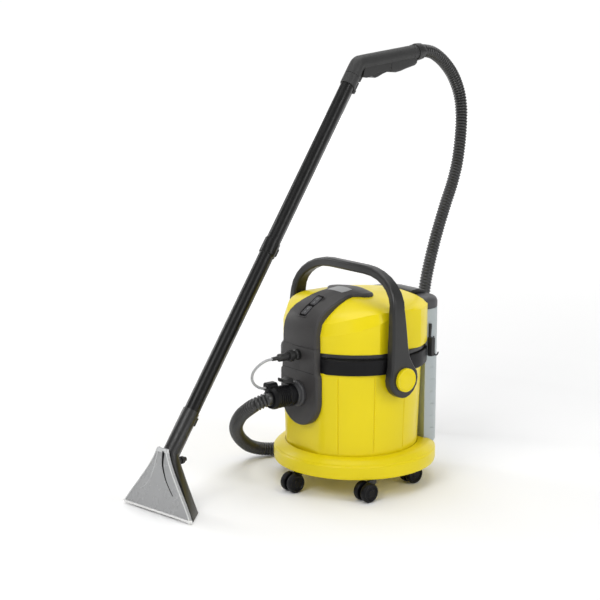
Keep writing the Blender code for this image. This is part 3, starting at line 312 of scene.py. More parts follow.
def make_materials():
    return {
        "yellow": moulded("glossy_yellow_shell", (0.80, 0.645, 0.004), 0.34, 520.0, 0.00003, 0.03,
                          coat=0.08, shine=0.25),
        "black": moulded("satin_black_moulding", (0.014, 0.014, 0.014), 0.36, 1100.0, 0.00007, 0.18,
                         shine=0.5),
        # Deep black for trim; on the cover's right line it is a painted shadow.
        "deep_black": moulded("deep_black_trim_and_channel_shadow", (0.004, 0.004, 0.005), 0.42, 1100.0, 0.00006, 0.2,
                              shine=0.2),
        "console": moulded("charcoal_console", (0.042, 0.040, 0.040), 0.46, 1300.0, 0.00008, 0.12,
                           shine=0.35),
        "grey": moulded("dark_grey_moulding", (0.060, 0.060, 0.063), 0.46, 1000.0, 0.00007, 0.10,
                        shine=0.4),
        "wand": moulded("wand_grey", (0.006, 0.006, 0.006), 0.34, 900.0, 0.00004, 0.15, coat=0.05,
                        shine=0.22),
        "grip": moulded("grip_grey", (0.028, 0.028, 0.028), 0.50, 1000.0, 0.00008, 0.12, shine=0.35),
        "switch": moulded("switch_grey", (0.055, 0.055, 0.058), 0.42, 1200.0, 0.00004, 0.08,
                          shine=0.4),
        "tank": moulded("blue_grey_tank", (0.46, 0.51, 0.52), 0.38, 420.0, 0.00004, 0.05,
                        transmission=0.15, shine=0.4),
        "clear": moulded("clear_cover", (0.40, 0.405, 0.41), 0.26, 300.0, 0.00004, 0.06, coat=0.25,
                         transmission=0.12, shine=0.4),
        # Pale for the collar; on the cover's edge lines and left rib it is a painted highlight.
        "pale": moulded("pale_collar_and_painted_highlights", (0.62, 0.63, 0.63), 0.34, 700.0, 0.00003, 0.05, coat=0.2,
                        shine=0.4),
        # White for the float cup; on the cover's lip it is a painted highlight.
        "white": moulded("white_moulding_and_lip_highlight", (0.86, 0.86, 0.85), 0.42, 900.0, 0.00005, 0.04, shine=0.3),
        "patch": moulded("plain_pale_patch", (0.30, 0.305, 0.31), 0.38, 700.0, 0.00002, 0.10),
        "rubber": moulded("black_rubber", (0.012, 0.012, 0.012), 0.72, 1500.0, 0.00012, 0.2,
                          shine=0.3),
        "steel": moulded("brushed_steel", (0.55, 0.55, 0.57), 0.30, 260.0, 0.00002, 0.05,
                         metallic=1.0, stretch=(1.0, 1.0, 9.0)),
        "hose": moulded("ribbed_hose", (0.009, 0.009, 0.009), 0.34, 800.0, 0.00006, 0.15, shine=0.75),
        "fleece": moulded("filter_fleece", (0.66, 0.63, 0.55), 0.92, 2200.0, 0.0004, 0.12),
    }


LOOKS = make_materials()


# ---------------------------------------------------------------- mesh helpers

def add_piece(name, mesh, look, body, replaced=(), sharp=32.0):
    """A finished piece, placed in the machine's own frame and riding on a body."""
    mesh.transform(Matrix.Translation(PLACE))
    mesh.materials.append(LOOKS[look])
    mesh.shade_smooth()
    mesh.set_sharp_from_angle(angle=math.radians(sharp))
    piece = bpy.data.objects.new(name, mesh)
    bpy.context.scene.collection.objects.link(piece)
    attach(piece, body)
    if replaced:
        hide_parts(*replaced)
    return piece


def loft_mesh(name, loops, ring=False, caps=True):
    """Skin a list of loops with equal point counts; a ring joins its last loop to its first."""
    shape = bmesh.new()
    rows = [[shape.verts.new(point) for point in loop] for loop in loops]
    pairs = list(zip(rows, rows[1:]))
    if ring:
        pairs.append((rows[-1], rows[0]))
    elif caps:
        shape.faces.new(rows[0])
        shape.faces.new(rows[-1])
    for low, high in pairs:
        for i in range(len(low)):
            j = (i + 1) % len(low)
            shape.faces.new((low[i], low[j], high[j], high[i]))
    bmesh.ops.recalc_face_normals(shape, faces=shape.faces)
    mesh = bpy.data.meshes.new(name)
    shape.to_mesh(mesh)
    shape.free()
    return mesh


def soften(piece, width, segments=2, angle=30.0):
    """Rounded edges, with shading that follows the large faces."""
    bevel = piece.modifiers.new("round_edges", "BEVEL")
    bevel.width = width
    bevel.segments = segments
    bevel.limit_method = "ANGLE"
    bevel.angle_limit = math.radians(angle)
    shade = piece.modifiers.new("even_shading", "WEIGHTED_NORMAL")
    shade.weight = 60


def turned_mesh(name, profile, centre, axis, sides=48, ring=False):
    """Turn a profile of (radius, distance along the axis) pairs about an axis."""
    centre = Vector(centre)
    turn = Vector(axis).to_track_quat("Z", "Y")
    loops = []
    for radius, reach in profile:
        loop = []
        for i in range(sides):
            angle = 2.0 * math.pi * i / sides
            spoke = Vector((radius * math.cos(angle), radius * math.sin(angle), reach))
            loop.append(centre + turn @ spoke)
        loops.append(loop)
    return loft_mesh(name, loops, ring)


# ---------------------------------------------------------------- free hoses

def smooth_route(route, count):
    """Evenly spaced points on a smooth curve through the route's own points."""
    knots = [Vector(point) for point in route]
    knots = [knots[0] * 2 - knots[1]] + knots + [knots[-1] * 2 - knots[-2]]
    fine = []
    for i in range(1, len(knots) - 2):
        a, b, c, d = knots[i - 1:i + 3]
        for step in range(24):
            t = step / 24
            fine.append(0.5 * (b * 2 + (c - a) * t + (a * 2 - b * 5 + c * 4 - d) * t ** 2
                               + (b * 3 - a - c * 3 + d) * t ** 3))
    fine.append(knots[-2])
    return evenly_spaced(fine, count)


def evenly_spaced(line, count):
    """count points along a line of many short pieces, the same distance apart."""
    lengths = [0.0]
    for before, after in zip(line, line[1:]):
        lengths.append(lengths[-1] + (after - before).length)
    points = []
    at = 0
    for i in range(count):
        target = lengths[-1] * i / (count - 1)
        while at < len(lengths) - 2 and lengths[at + 1] < target:
            at += 1
        share = (target - lengths[at]) / (lengths[at + 1] - lengths[at])
        points.append(line[at].lerp(line[at + 1], min(share, 1.0)))
    return points


def line_length(points):
    return sum((after - before).length for before, after in zip(points, points[1:]))


def tube_mesh(name, points, radius_at, sides=18):
    """A closed tube along points, whose radius follows the distance travelled."""
    loops = []
    travelled = 0.0
    side = None
    for index, point in enumerate(points):
        before = points[max(index - 1, 0)]
        after = points[min(index + 1, len(points) - 1)]
        run = (after - before).normalized()
        if side is None:
            side = run.orthogonal().normalized()
        side = (side - run * side.dot(run)).normalized()
        other = run.cross(side)
        if index:
            travelled += (point - points[index - 1]).length
        radius = radius_at(travelled)
        loops.append([point + (side * math.cos(a) + other * math.sin(a)) * radius
                      for a in (2.0 * math.pi * i / sides for i in range(sides))])
    return loft_mesh(name, loops)


def make_hose():
    """The ribbed suction hose, from the machine's cuff to the wand's collar."""
    start = Vector((0.0, -HOSE_START, INLET_HEIGHT))
    end = ELBOW + GRIP_ALONG * COLLAR_END
    route = [(0.0, -HOSE_START - HOSE_STUB, INLET_HEIGHT)] + HOSE_ROUTE
    route.append(tuple(end + GRIP_ALONG * HOSE_STUB))
    line = [start] + smooth_route(route, HOSE_POINTS) + [end]
    rounded = smooth_route([tuple(point) for point in line], 900)
    rounded[0] = start
    rounded[-1] = end
    length = line_length(rounded)
    rings = int(length / HOSE_PITCH)
    fine = evenly_spaced(rounded, rings * 6)

    def radius_at(travelled):
        wave = 0.5 + 0.5 * math.cos(2.0 * math.pi * travelled / length * rings)
        ridge = wave ** 0.6
        end_fade = min(1.0, travelled / 0.01, (length - travelled) / 0.01)
        return HOSE_RADIUS - HOSE_GROOVE * (1.0 - ridge) * max(end_fade, 0.0)

    mesh = tube_mesh("ribbed_suction_hose", fine, radius_at, 20)
    hose = add_piece("ribbed_suction_hose", mesh, "hose", "machine", ["suction_hose"], 60.0)


def make_spray_tube():
    """The short spray tube that loops from its coupling into the hose's cuff."""
    start = Vector((0.0, -0.2494, 0.3255))
    end = Vector((-0.012, -0.2567, 0.2575))
    line = [start] + smooth_route(SPRAY_ROUTE, SPRAY_TUBE_POINTS) + [end]
    fine = smooth_route([tuple(point) for point in line], 120)
    fine[0] = start
    fine[-1] = end
    mesh = tube_mesh("clear_spray_tube", fine, lambda travelled: SPRAY_TUBE_RADIUS, 14)
    tube = add_piece("clear_spray_tube", mesh, "clear", "machine", ["spray_tube"], 60.0)


# ---------------------------------------------------------------- tub and head

def clamp(value, low, high):
    return max(low, min(high, value))


def flat_circle(radius, angles, centre_y=0.0, front=-1.0, back=1.0, side=1.0):
    """(x, y) points of a circle about the tub, flattened in front, behind and at the sides."""
    return [(clamp(radius * math.cos(a), -side, side),
             clamp(centre_y + radius * math.sin(a), front, back)) for a in angles]


def even_angles(count):
    return [2.0 * math.pi * i / count for i in range(count)]


def panel_angles():
    """Angles round the tub, closer together at each panel line."""
    angles = [2.0 * math.pi * i / 144 for i in range(144)]
    for line in PANEL_LINES:
        middle = math.radians(line) % (2.0 * math.pi)
        angles = [a for a in angles if abs(a - middle) > math.radians(1.3)]
        angles += [middle + math.radians(step) for step in (-1.1, -0.6, -0.25, 0.25, 0.6, 1.1)]
    return sorted(angles)


def groove_at(angle):
    """How deep the panel lines cut at an angle."""
    depth = 0.0
    for line in PANEL_LINES:
        gap = (angle - math.radians(line) + math.pi) % (2.0 * math.pi) - math.pi
        if abs(gap) < math.radians(0.45):
            depth = PANEL_GROOVE
    return depth


def make_container():
    """The tub with its upright panel lines and the inlet's hole."""
    rows = [(0.140, 0.0594, 0.0), (0.149, 0.0606, 0.0), (0.1525, 0.067, 0.0), (0.1565, 0.099, 0.0),
            (0.1567, 0.106, 1.0), (0.1628, 0.280, 1.0), (0.1630, 0.286, 0.0), (0.1630, 0.322, 0.0)]
    angles = panel_angles()
    loops = []
    for radius, height, grooved in rows:
        front = FRONT_FLAT if height < 0.2865 else FRONT_FLAT + 0.004
        cut = [radius - groove_at(a) * grooved for a in angles]
        loops.append([Vector((r * math.cos(a), clamp(TUB_Y + r * math.sin(a), front, BACK_FLAT), height))
                      for r, a in zip(cut, angles)])
    for radius, height, grooved in reversed(rows):
        front = (FRONT_FLAT if height < 0.2865 else FRONT_FLAT + 0.004) + TUB_WALL
        lift = 0.0036 if height < 0.062 else 0.0
        flat = flat_circle(radius - TUB_WALL, angles, TUB_Y, front, BACK_FLAT - TUB_WALL)
        loops.append([Vector((x, y, height + lift)) for x, y in flat])
    mesh = loft_mesh("tub_shell", loops)
    cutter = turned_mesh("inlet_hole", [(0.0228, 0.0), (0.0228, 0.04)], (0, -0.175, INLET_HEIGHT),
                         (0, 1, 0), 32)
    mesh = bored(mesh, cutter)
    tub = add_piece("tub_shell", mesh, "yellow", "machine", ["container"], 24.0)
    soften(tub, 0.0006, 2, 40.0)


def bored(mesh, cutter_mesh):
    """The mesh with the cutter's shape taken out of it."""
    body = bpy.data.objects.new("bored", mesh)
    cutter = bpy.data.objects.new("cutter", cutter_mesh)
    for item in (body, cutter):
        bpy.context.scene.collection.objects.link(item)
    change = body.modifiers.new("bore", "BOOLEAN")
    change.operation = "DIFFERENCE"
    change.object = cutter
    graph = bpy.context.evaluated_depsgraph_get()
    result = bpy.data.meshes.new_from_object(body.evaluated_get(graph))
    for item in (body, cutter):
        bpy.data.objects.remove(item)
    return result


def crown_height(x, y):
    """The head's top surface: a low dome that falls away faster towards the front."""
    front = max(0.0, -0.02 - y)
    back = max(0.0, y)
    return CROWN_HEIGHT - 3.9 * front ** 2.15 - 0.65 * back ** 2 - 0.9 * x ** 2


def wall_height(x, y):
    """The upper edge of the head's upright wall: sloping in front, level behind."""
    return min(0.3754 + 0.34 * (y + 0.156), WALL_TOP)


def head_loops(grow):
    """The head's surface from its crown down to its rim, with fine rows over the dome."""
    angles = even_angles(132)
    flats = {"front": FRONT_FLAT - grow, "back": HEAD_BACK + grow, "side": HEAD_SIDE + grow}
    loops = []
    for step in range(20):
        radius = 0.012 + (0.160 - 0.012) * step / 19
        drop = 0.002 * max(0.0, (radius - 0.141) / 0.019) ** 2
        loops.append([Vector((x, y, crown_height(x, y) - drop + grow))
                      for x, y in flat_circle(radius + grow, angles, **flats)])
    rim = flat_circle(HEAD_RADIUS + grow, angles, **flats)
    loops.append([Vector((x, y, wall_height(x, y) + grow)) for x, y in rim])
    loops.append([Vector((x, y, 0.3395 + grow)) for x, y in rim])
    low = flat_circle(0.1682 + grow, angles, **flats)
    loops.append([Vector((x, y, HEAD_LOW + max(grow, 0.0))) for x, y in low])
    return loops


def make_head():
    """The yellow head: a dome, a slanted shoulder between two creases, and an upright wall."""
    inner = head_loops(-HEAD_WALL)
    inner.pop(-2)
    mesh = loft_mesh("head_cover", head_loops(0.0) + list(reversed(inner)))
    cutter = turned_mesh("cord_hole", [(0.0065, 0.0), (0.0065, 0.06)], (-0.1300, 0.0750, 0.362),
                         (-0.866, 0.5, 0), 24)
    mesh = bored(mesh, cutter)
    add_piece("head_cover", mesh, "yellow", "head", ["head_shell"], 15.0)


def switch_point(across, along, out):
    return SWITCH_CENTRE + ACROSS * across + SWITCH_RUN * along + SWITCH_OUT * out


def slot_outline(half_wide, half_long, corner, out, along=0.0, steps=6):
    """A rounded rectangle in the console's sloping face."""
    points = []
    for quarter in range(4):
        side = 1.0 if quarter in (0, 3) else -1.0
        end = 1.0 if quarter in (0, 1) else -1.0
        for i in range(steps):
            angle = math.pi / 2 * (quarter + i / (steps - 1))
            points.append(switch_point(side * (half_wide - corner) + corner * math.cos(angle),
                                       along + end * (half_long - corner) + corner * math.sin(angle),
                                       out))
    return points


def make_switch_trim():
    """The raised frame round the two rockers, and a plain mark on each."""
    loops = [slot_outline(0.0150, 0.0372, 0.0070, -0.0020), slot_outline(0.0150, 0.0372, 0.0070, 0.0006),
             slot_outline(0.0144, 0.0366, 0.0066, 0.0013), slot_outline(0.0132, 0.0354, 0.0058, 0.0013),
             slot_outline(0.0126, 0.0348, 0.0054, 0.0004), slot_outline(0.0126, 0.0348, 0.0054, -0.0020)]
    mesh = loft_mesh("switch_frame", loops, ring=True)
    add_piece("switch_frame", mesh, "console", "head", (), 30.0)
    for name, along in (("suction", -0.0165), ("spray", 0.0165)):
        middle = switch_point(0.0, along + 0.006, 0.0026)
        ring = [(0.0024, 0.0), (0.0024, 0.0003), (0.0030, 0.0003), (0.0030, 0.0)]
        mesh = turned_mesh("mark_ring_" + name, ring, middle, SWITCH_OUT, 24, ring=True)
        add_piece("mark_ring_" + name, mesh, "patch", "switch_" + name)
        bar = [switch_point(across, along - 0.006 + run, 0.0026)
               for across, run in ((-0.0005, -0.0022), (0.0005, -0.0022),
                                   (0.0005, 0.0022), (-0.0005, 0.0022))]
        lifted = [point + SWITCH_OUT * 0.0003 for point in bar]
        add_piece("mark_bar_" + name, loft_mesh("mark_bar_" + name, [bar, lifted]), "patch",
                  "switch_" + name)


def make_patch():
    """The plain pale patch on the console's crown."""
    columns = 15
    rows = 11
    shape = bmesh.new()
    grid = {}
    for layer, lift in ((0, -0.0006), (1, 0.0005)):
        for i in range(columns):
            for j in range(rows):
                u = 2.0 * i / (columns - 1) - 1.0
                v = 2.0 * j / (rows - 1) - 1.0
                x = 0.0270 * u * (1.0 - 0.06 * v * v)
                y = PATCH_Y + 0.0165 * v * (1.0 - 0.06 * u * u)
                z = console_top_at(y) - 0.007 * (x / 0.052) ** 2 + lift
                grid[layer, i, j] = shape.verts.new((x, y, z))
    for layer in (0, 1):
        for i in range(columns - 1):
            for j in range(rows - 1):
                shape.faces.new([grid[layer, i, j], grid[layer, i + 1, j],
                                 grid[layer, i + 1, j + 1], grid[layer, i, j + 1]])
    edge = [(i, 0) for i in range(columns)] + [(columns - 1, j) for j in range(1, rows)]
    edge += [(i, rows - 1) for i in range(columns - 2, -1, -1)] + [(0, j) for j in range(rows - 2, 0, -1)]
    for (a, b), (c, d) in zip(edge, edge[1:] + edge[:1]):
        shape.faces.new([grid[0, a, b], grid[0, c, d], grid[1, c, d], grid[1, a, b]])
    bmesh.ops.recalc_face_normals(shape, faces=shape.faces)
    mesh = bpy.data.meshes.new("console_patch")
    shape.to_mesh(mesh)
    shape.free()
    add_piece("console_patch", mesh, "patch", "head")


def console_top_at(y):
    """Height of the console's crown line at a distance along Y."""
    line = [(-0.1200, 0.4435), (-0.0940, 0.4540), (-0.0700, 0.4605), (-0.0520, 0.4632),
            (-0.0380, 0.4645), (-0.0300, 0.4650), (-0.0080, 0.4645)]
    for (y0, z0), (y1, z1) in zip(line, line[1:]):
        if y <= y1:
            return z0 + (z1 - z0) * (y - y0) / (y1 - y0)
    return line[-1][1]


# ---------------------------------------------------------------- floor nozzle

def cover_point(along, across, out):
    return COVER_TOP + COVER_DOWN * along + SIDE * across + COVER_OUT * out


def cover_half(along):
    """Half the cover's width at a distance from its top."""
    for (near, low), (far, high) in zip(COVER_ROWS, COVER_ROWS[1:]):
        if along <= far:
            return low + (high - low) * (along - near) / (far - near)
    return COVER_ROWS[-1][1]


def make_cover_plate():
    """The fan-shaped cover, with a bowed face and a hollow back."""
    loops = []
    for step in range(30):
        along = COVER_LENGTH * step / 29
        half = cover_half(along)
        bow = 0.0016 * math.sin(math.pi * step / 29)
        shoulder = 0.0066 + bow * 0.4
        face = 0.0068 + bow
        section = [(-half, 0.0), (-half, 0.0058), (-half + 0.0014, 0.0074),
                   (-half * 0.80, shoulder), (-half * 0.45, face), (0.0, 0.0068 + bow * 1.2),
                   (half * 0.45, face), (half * 0.80, shoulder), (half - 0.0014, 0.0074),
                   (half, 0.0058), (half, 0.0), (half - 0.0040, 0.0), (half - 0.0040, 0.0035),
                   (-half + 0.0040, 0.0035), (-half + 0.0040, 0.0)]
        loops.append([cover_point(along, across, out) for across, out in section])
    add_piece("fan_cover", loft_mesh("fan_cover", loops), "clear", "machine", ["nozzle_cover"], 40.0)


def make_cover_line(name, line, out, look, wide, taper):
    """A raised line on the cover, which thins along its length by the taper; it carries a painted
    highlight or a painted shadow, as its look sets.
    """
    fine = smooth_route([tuple(cover_point(along, across, out)) for along, across in line], 40)
    length = line_length(fine)
    mesh = tube_mesh(name, fine, lambda travelled: wide * (1.0 - taper * travelled / length), 12)
    add_piece(name, mesh, look, "machine", (), 60.0)


def make_painted_lip_highlight():
    """A white strip along the cover's lower edge, painted as the highlight on the clear cover's rim."""
    section = ((0.1405, 0.0060), (0.1410, 0.0090), (0.1422, 0.0098), (0.1446, 0.0096),
               (0.1458, 0.0082), (0.1460, 0.0010), (0.1405, 0.0010))
    loops = [[cover_point(along, across, out) for along, out in section]
             for across in (-0.1098, -0.1090, 0.1090, 0.1098)]
    # The white colour is a painted highlight on the clear rim, not a separate white part.
    piece = add_piece("painted_lip_highlight", loft_mesh("painted_lip_highlight", loops), "white", "machine", (), 40.0)
    soften(piece, 0.0005)


def make_cover_collar():
    """The pale collar over the cover's upper end."""
    rows = ((0.0005, 0.0150, 0.0060), (0.0015, 0.0162, 0.0082), (0.0070, 0.0176, 0.0090),
            (0.0095, 0.0184, 0.0080))
    loops = []
    for along, half, high in rows:
        section = ((-half, 0.0005), (-half, high - 0.003), (-half + 0.004, high),
                   (half - 0.004, high), (half, high - 0.003), (half, 0.0005))
        loops.append([cover_point(along, across, out) for across, out in section])
    piece = add_piece("cover_collar", loft_mesh("cover_collar", loops), "pale", "machine", (), 40.0)
    soften(piece, 0.0005)


def make_back_nubs():
    """Two small knobs on the nozzle's back."""
    profile = [(0.0040, -0.004), (0.0040, 0.003), (0.0032, 0.0036), (0.0030, 0.0064),
               (0.0022, 0.0070)]
    for name, forward, height in (("upper", 0.0660, 0.1270), ("lower", 0.0672, 0.0860)):
        place = FOOT + HEADING * forward + UPWARD * height
        mesh = turned_mesh("back_nub_" + name, profile, place, HEADING, 20)
        add_piece("back_nub_" + name, mesh, "deep_black", "machine")


def make_edge_highlight(name, sign):
    """A thin pale line along one of the cover's slanting edges, painted as the highlight on the clear
    edge.
    """
    line = [tuple(cover_point(along, sign * (half - 0.0018), 0.0078)) for along, half in COVER_ROWS]
    # The pale colour is a painted highlight along the clear cover's edge.
    mesh = tube_mesh("painted_edge_highlight_" + name, smooth_route(line, 40), lambda travelled: 0.0014, 10)
    add_piece("painted_edge_highlight_" + name, mesh, "pale", "machine", (), 60.0)


def make_nozzle_cover():
    """The cover with painted highlights along its edges, its lip and one curved rib, a painted shadow
    along its curved spray channel, its collar, and the knobs behind it.
    """
    make_cover_plate()
    make_edge_highlight("left", -1.0)
    make_edge_highlight("right", 1.0)
    # The left line is a painted highlight along a rib, the right line a painted shadow in the spray duct's
    # channel.
    make_cover_line("painted_rib_highlight", RIB_HIGHLIGHT_LINE, 0.0076, "pale", 0.0013, 0.7)
    make_cover_line("painted_channel_shadow", CHANNEL_SHADOW_LINE, 0.0076, "deep_black", 0.0030, 0.7)
    make_painted_lip_highlight()
    make_cover_collar()
    make_back_nubs()


# ---------------------------------------------------------------- wand and handle

def wand_section(centre, under, radius, rib=0.0, flat=None, sides=40):
    """A round section with a soft rib, or a flat, on its underside."""
    loop = []
    for i in range(sides):
        angle = 2.0 * math.pi * i / sides
        down = radius * math.cos(angle)
        if rib and math.cos(angle) > 0.80:
            down += (rib - radius) * min(1.0, (math.cos(angle) - 0.80) / 0.08)
        if flat is not None:
            down = min(down, flat)
        loop.append(centre + under * down + SIDE * radius * math.sin(angle))
    return loop


def elbow_sections(radius, rib, steps=4):
    """Sections round the elbow, drawn in close to its corner."""
    start = ELBOW - WAND_UP * ELBOW_REACH
    end = ELBOW + GRIP_ALONG * ELBOW_REACH
    loops = []
    for step in range(1, steps + 1):
        share = step / (steps + 1)
        middle = start * (1 - share) ** 2 + ELBOW * 2 * share * (1 - share) + end * share ** 2
        run = (WAND_UP * (1 - share) + GRIP_ALONG * share).normalized()
        under = HEADING * run.z - UPWARD * run.dot(HEADING)
        depth = rib * (1 - share) + radius * share if rib else 0.0
        loops.append(wand_section(middle, under, radius, depth))
    return loops


def grip_point(along, under, across=0.0):
    return ELBOW + GRIP_ALONG * along + GRIP_UNDER * under + SIDE * across


def flat_block(name, outline, half, look, body, width=0.0008):
    """A plate through the handle, drawn by its outline of (along the grip, below its line)."""
    loops = [[grip_point(along, under, across) for along, under in outline] for across in half]
    piece = add_piece(name, loft_mesh(name, loops), look, body, (), 30.0)
    soften(piece, width)


def tube_section(along, radius, rib=0.0):
    return wand_section(NECK + WAND_UP * along, WAND_UNDER, radius, rib)


def grip_section(along, radius, flat=None):
    return wand_section(ELBOW + GRIP_ALONG * along, GRIP_UNDER, radius, 0.0, flat)


def button_pocket():
    """The block that cuts the latch button's pocket."""
    middle = NECK + WAND_UP * LATCH_AT
    corners = [middle + WAND_UP * a + SIDE * b for a, b in
               ((-0.0105, -0.0055), (0.0105, -0.0055), (0.0105, 0.0055), (-0.0105, 0.0055))]
    return loft_mesh("button_pocket", [[corner + WAND_UNDER * reach for corner in corners]
                                       for reach in (0.0190, 0.05)])


def make_bent_grip():
    """The hollow bent grip, with a seam round its lower end and the button's pocket."""
    loops = [tube_section(HANDLE_START, GRIP_RADIUS - 0.0006, GRIP_RIB - 0.0006),
             tube_section(HANDLE_START + 0.0008, GRIP_RADIUS, GRIP_RIB)]
    for step, depth in ((-0.0010, 0.0), (-0.0006, 0.0010), (0.0006, 0.0010), (0.0010, 0.0)):
        loops.append(tube_section(HANDLE_SEAM + step, GRIP_RADIUS - depth, GRIP_RIB - depth))
    loops.append(tube_section(1.0380, GRIP_RADIUS, GRIP_RIB))
    loops += elbow_sections(GRIP_RADIUS, GRIP_RIB)
    loops += [grip_section(GRIP_START, GRIP_RADIUS, GRIP_FLAT),
              grip_section(GRIP_END, GRIP_RADIUS, GRIP_FLAT), grip_section(GRIP_END, GRIP_FLAT),
              grip_section(GRIP_END + GRIP_SPIGOT, GRIP_FLAT),
              grip_section(GRIP_END + GRIP_SPIGOT, GRIP_BORE), grip_section(GRIP_START, GRIP_BORE)]
    loops += list(reversed(elbow_sections(GRIP_BORE, 0.0)))
    loops += [tube_section(HANDLE_SOCKET, GRIP_BORE), tube_section(HANDLE_SOCKET, WAND_BORE),
              tube_section(HANDLE_START, WAND_BORE)]
    mesh = bored(loft_mesh("bent_grip", loops, ring=True), button_pocket())
    add_piece("bent_grip", mesh, "grip", "machine", ["handle_grip"], 34.0)


def make_cheeks():
    """The web in the elbow's corner and the two cheeks beside the trigger."""
    cheek = [(0.0100, 0.0060), (0.0010, 0.0290), (0.0060, 0.0345), (0.0134, 0.0362),
             (0.0250, 0.0360), (0.0360, 0.0335), (0.0560, 0.0290), (0.0900, 0.0285),
             (0.1085, 0.0300), (0.1085, 0.0100)]
    web = [(0.0100, 0.0100), (0.0010, 0.0290), (0.0060, 0.0345), (0.0134, 0.0358),
           (0.0250, 0.0350), (0.0335, 0.0330), (0.0335, 0.0160), (0.0300, 0.0130)]
    flat_block("elbow_web", web, (-0.0114, 0.0114), "grip", "machine")
    flat_block("grip_cheek_left", cheek, (-0.0152, -0.0112), "grip", "machine")
    flat_block("grip_cheek_right", cheek, (0.0112, 0.0152), "grip", "machine")


def make_lower_cover():
    """The grip's lower cover behind the trigger, with the valve's pocket."""
    rows = [(0.1100, 0.0330, 0.0140), (0.1125, 0.0355, 0.0150), (0.1300, 0.0385, 0.0155),
            (0.1500, 0.0375, 0.0155), (0.1700, 0.0345, 0.0155), (0.1900, 0.0325, 0.0150),
            (0.2080, 0.0310, 0.0140), (0.2150, 0.0285, 0.0125)]
    loops = []
    for along, reach, half in rows:
        section = [(0.0095, half), (reach - 0.0080, half + 0.0006), (reach - 0.0030, half - 0.0010),
                   (reach, half - 0.0050), (reach, -half + 0.0050), (reach - 0.0030, -half + 0.0010),
                   (reach - 0.0080, -half - 0.0006), (0.0095, -half)]
        loops.append([grip_point(along, under, across) for under, across in section])
    pocket = turned_mesh("valve_pocket", [(0.0062, 0.0), (0.0062, 0.052)],
                         grip_point(0.1060, 0.0215), GRIP_ALONG, 20)
    mesh = bored(loft_mesh("lower_cover", loops), pocket)
    piece = add_piece("lower_cover", mesh, "grip", "machine", ["handle_under"], 30.0)
    soften(piece, 0.0008)


def make_diagonal_ring():
    """The slanting line round the grip, before the hose's collar."""
    radius = GRIP_RADIUS + 0.0002
    points = []
    for i in range(48):
        angle = 2.0 * math.pi * i / 48
        down = min(radius * math.cos(angle), GRIP_FLAT)
        points.append(grip_point(0.2065 - 0.30 * down, down, radius * math.sin(angle)))
    mesh = closed_tube("diagonal_ring", points, 0.0007)
    add_piece("diagonal_ring", mesh, "switch", "machine", (), 60.0)


def make_clip_rails():
    """The rails before and behind the latch button."""
    for name, start, end in (("lower", 0.9790, 0.9912), ("upper", 1.0138, 1.0340)):
        loops = []
        for along, high in ((start, 0.0240), (start + 0.003, 0.0305), (end - 0.001, 0.0310),
                            (end, 0.0300)):
            middle = NECK + WAND_UP * along
            section = ((0.0205, 0.0065), (high - 0.002, 0.0065), (high, 0.0045), (high, -0.0045),
                       (high - 0.002, -0.0065), (0.0205, -0.0065))
            loops.append([middle + WAND_UNDER * under + SIDE * across for under, across in section])
        mesh = loft_mesh("clip_rail_" + name, loops)
        piece = add_piece("clip_rail_" + name, mesh, "grip", "machine", (), 30.0)
        soften(piece, 0.0006)


def make_handle():
    make_bent_grip()
    make_cheeks()
    make_lower_cover()
    make_diagonal_ring()
    make_clip_rails()


def closed_tube(name, points, radius, sides=8):
    """A tube along a closed line of points."""
    loops = []
    middle = sum(points, Vector()) / len(points)
    for index, point in enumerate(points):
        run = (points[(index + 1) % len(points)] - points[index - 1]).normalized()
        outward = point - middle
        outward = (outward - run * outward.dot(run)).normalized()
        other = run.cross(outward)
        loops.append([point + (outward * math.cos(a) + other * math.sin(a)) * radius
                      for a in (2.0 * math.pi * i / sides for i in range(sides))])
    return loft_mesh(name, loops, ring=True)


# ---------------------------------------------------------------- inlet and tank trim

def make_cuff():
    """The ribbed cuff on the inlet, with its tube block and a stubby latch."""
    profile = [(0.0150, 0.045), (0.0200, 0.045), (0.0200, 0.0015), (0.0262, 0.0015), (0.0268, -0.0008),
               (0.0268, -0.0100), (0.0238, -0.0116), (0.0232, -0.0150)]
    for groove in range(5):
        near = -0.0165 - groove * 0.0056
        profile += [(0.0252, near), (0.0254, near - 0.0034), (0.0236, near - 0.0040),
                    (0.0236, near - 0.0050)]
    profile += [(0.0258, -0.0452), (0.0260, -0.0540), (0.0246, -0.0565), (0.0228, -0.0613),
                (0.0150, -0.0613)]
    mesh = turned_mesh("ribbed_cuff", profile, (0, -0.195, INLET_HEIGHT), (0, 1, 0), 56, ring=True)
    cuff = add_piece("ribbed_cuff", mesh, "deep_black", "machine", ["machine_cuff"], 30.0)
    soften(cuff, 0.0004)
    block = []
    for y, grow in ((-0.2585, -0.0015), (-0.2570, 0.0), (-0.2330, 0.0), (-0.2315, -0.0015)):
        block.append([Vector((x, y, z)) for x, z in
                      ((-0.0225 - grow, 0.2500), (-0.0225 - grow, 0.2650 + grow), (-0.0190, 0.2685 + grow),
                       (-0.0040, 0.2685 + grow), (0.0010 + grow, 0.2640 + grow), (0.0010 + grow, 0.2500))])
    piece = add_piece("tube_block", loft_mesh("tube_block", block), "deep_black", "machine", (), 30.0)
    soften(piece, 0.0010)
    outline = [(-0.1970, 0.2640), (-0.1970, 0.2730), (-0.1990, 0.2760), (-0.2070, 0.2765),
               (-0.2150, 0.2735), (-0.2215, 0.2745), (-0.2240, 0.2775), (-0.2265, 0.2765),
               (-0.2260, 0.2700), (-0.2200, 0.2660)]
    lever = [[Vector((x, y, z)) for y, z in outline] for x in (-0.0085, -0.0075, 0.0110, 0.0120)]
    mesh = loft_mesh("stub_lever", lever)
    piece = add_piece("stub_lever", mesh, "black", "cuff_lever", ["cuff_lever"], 30.0)
    soften(piece, 0.0006)


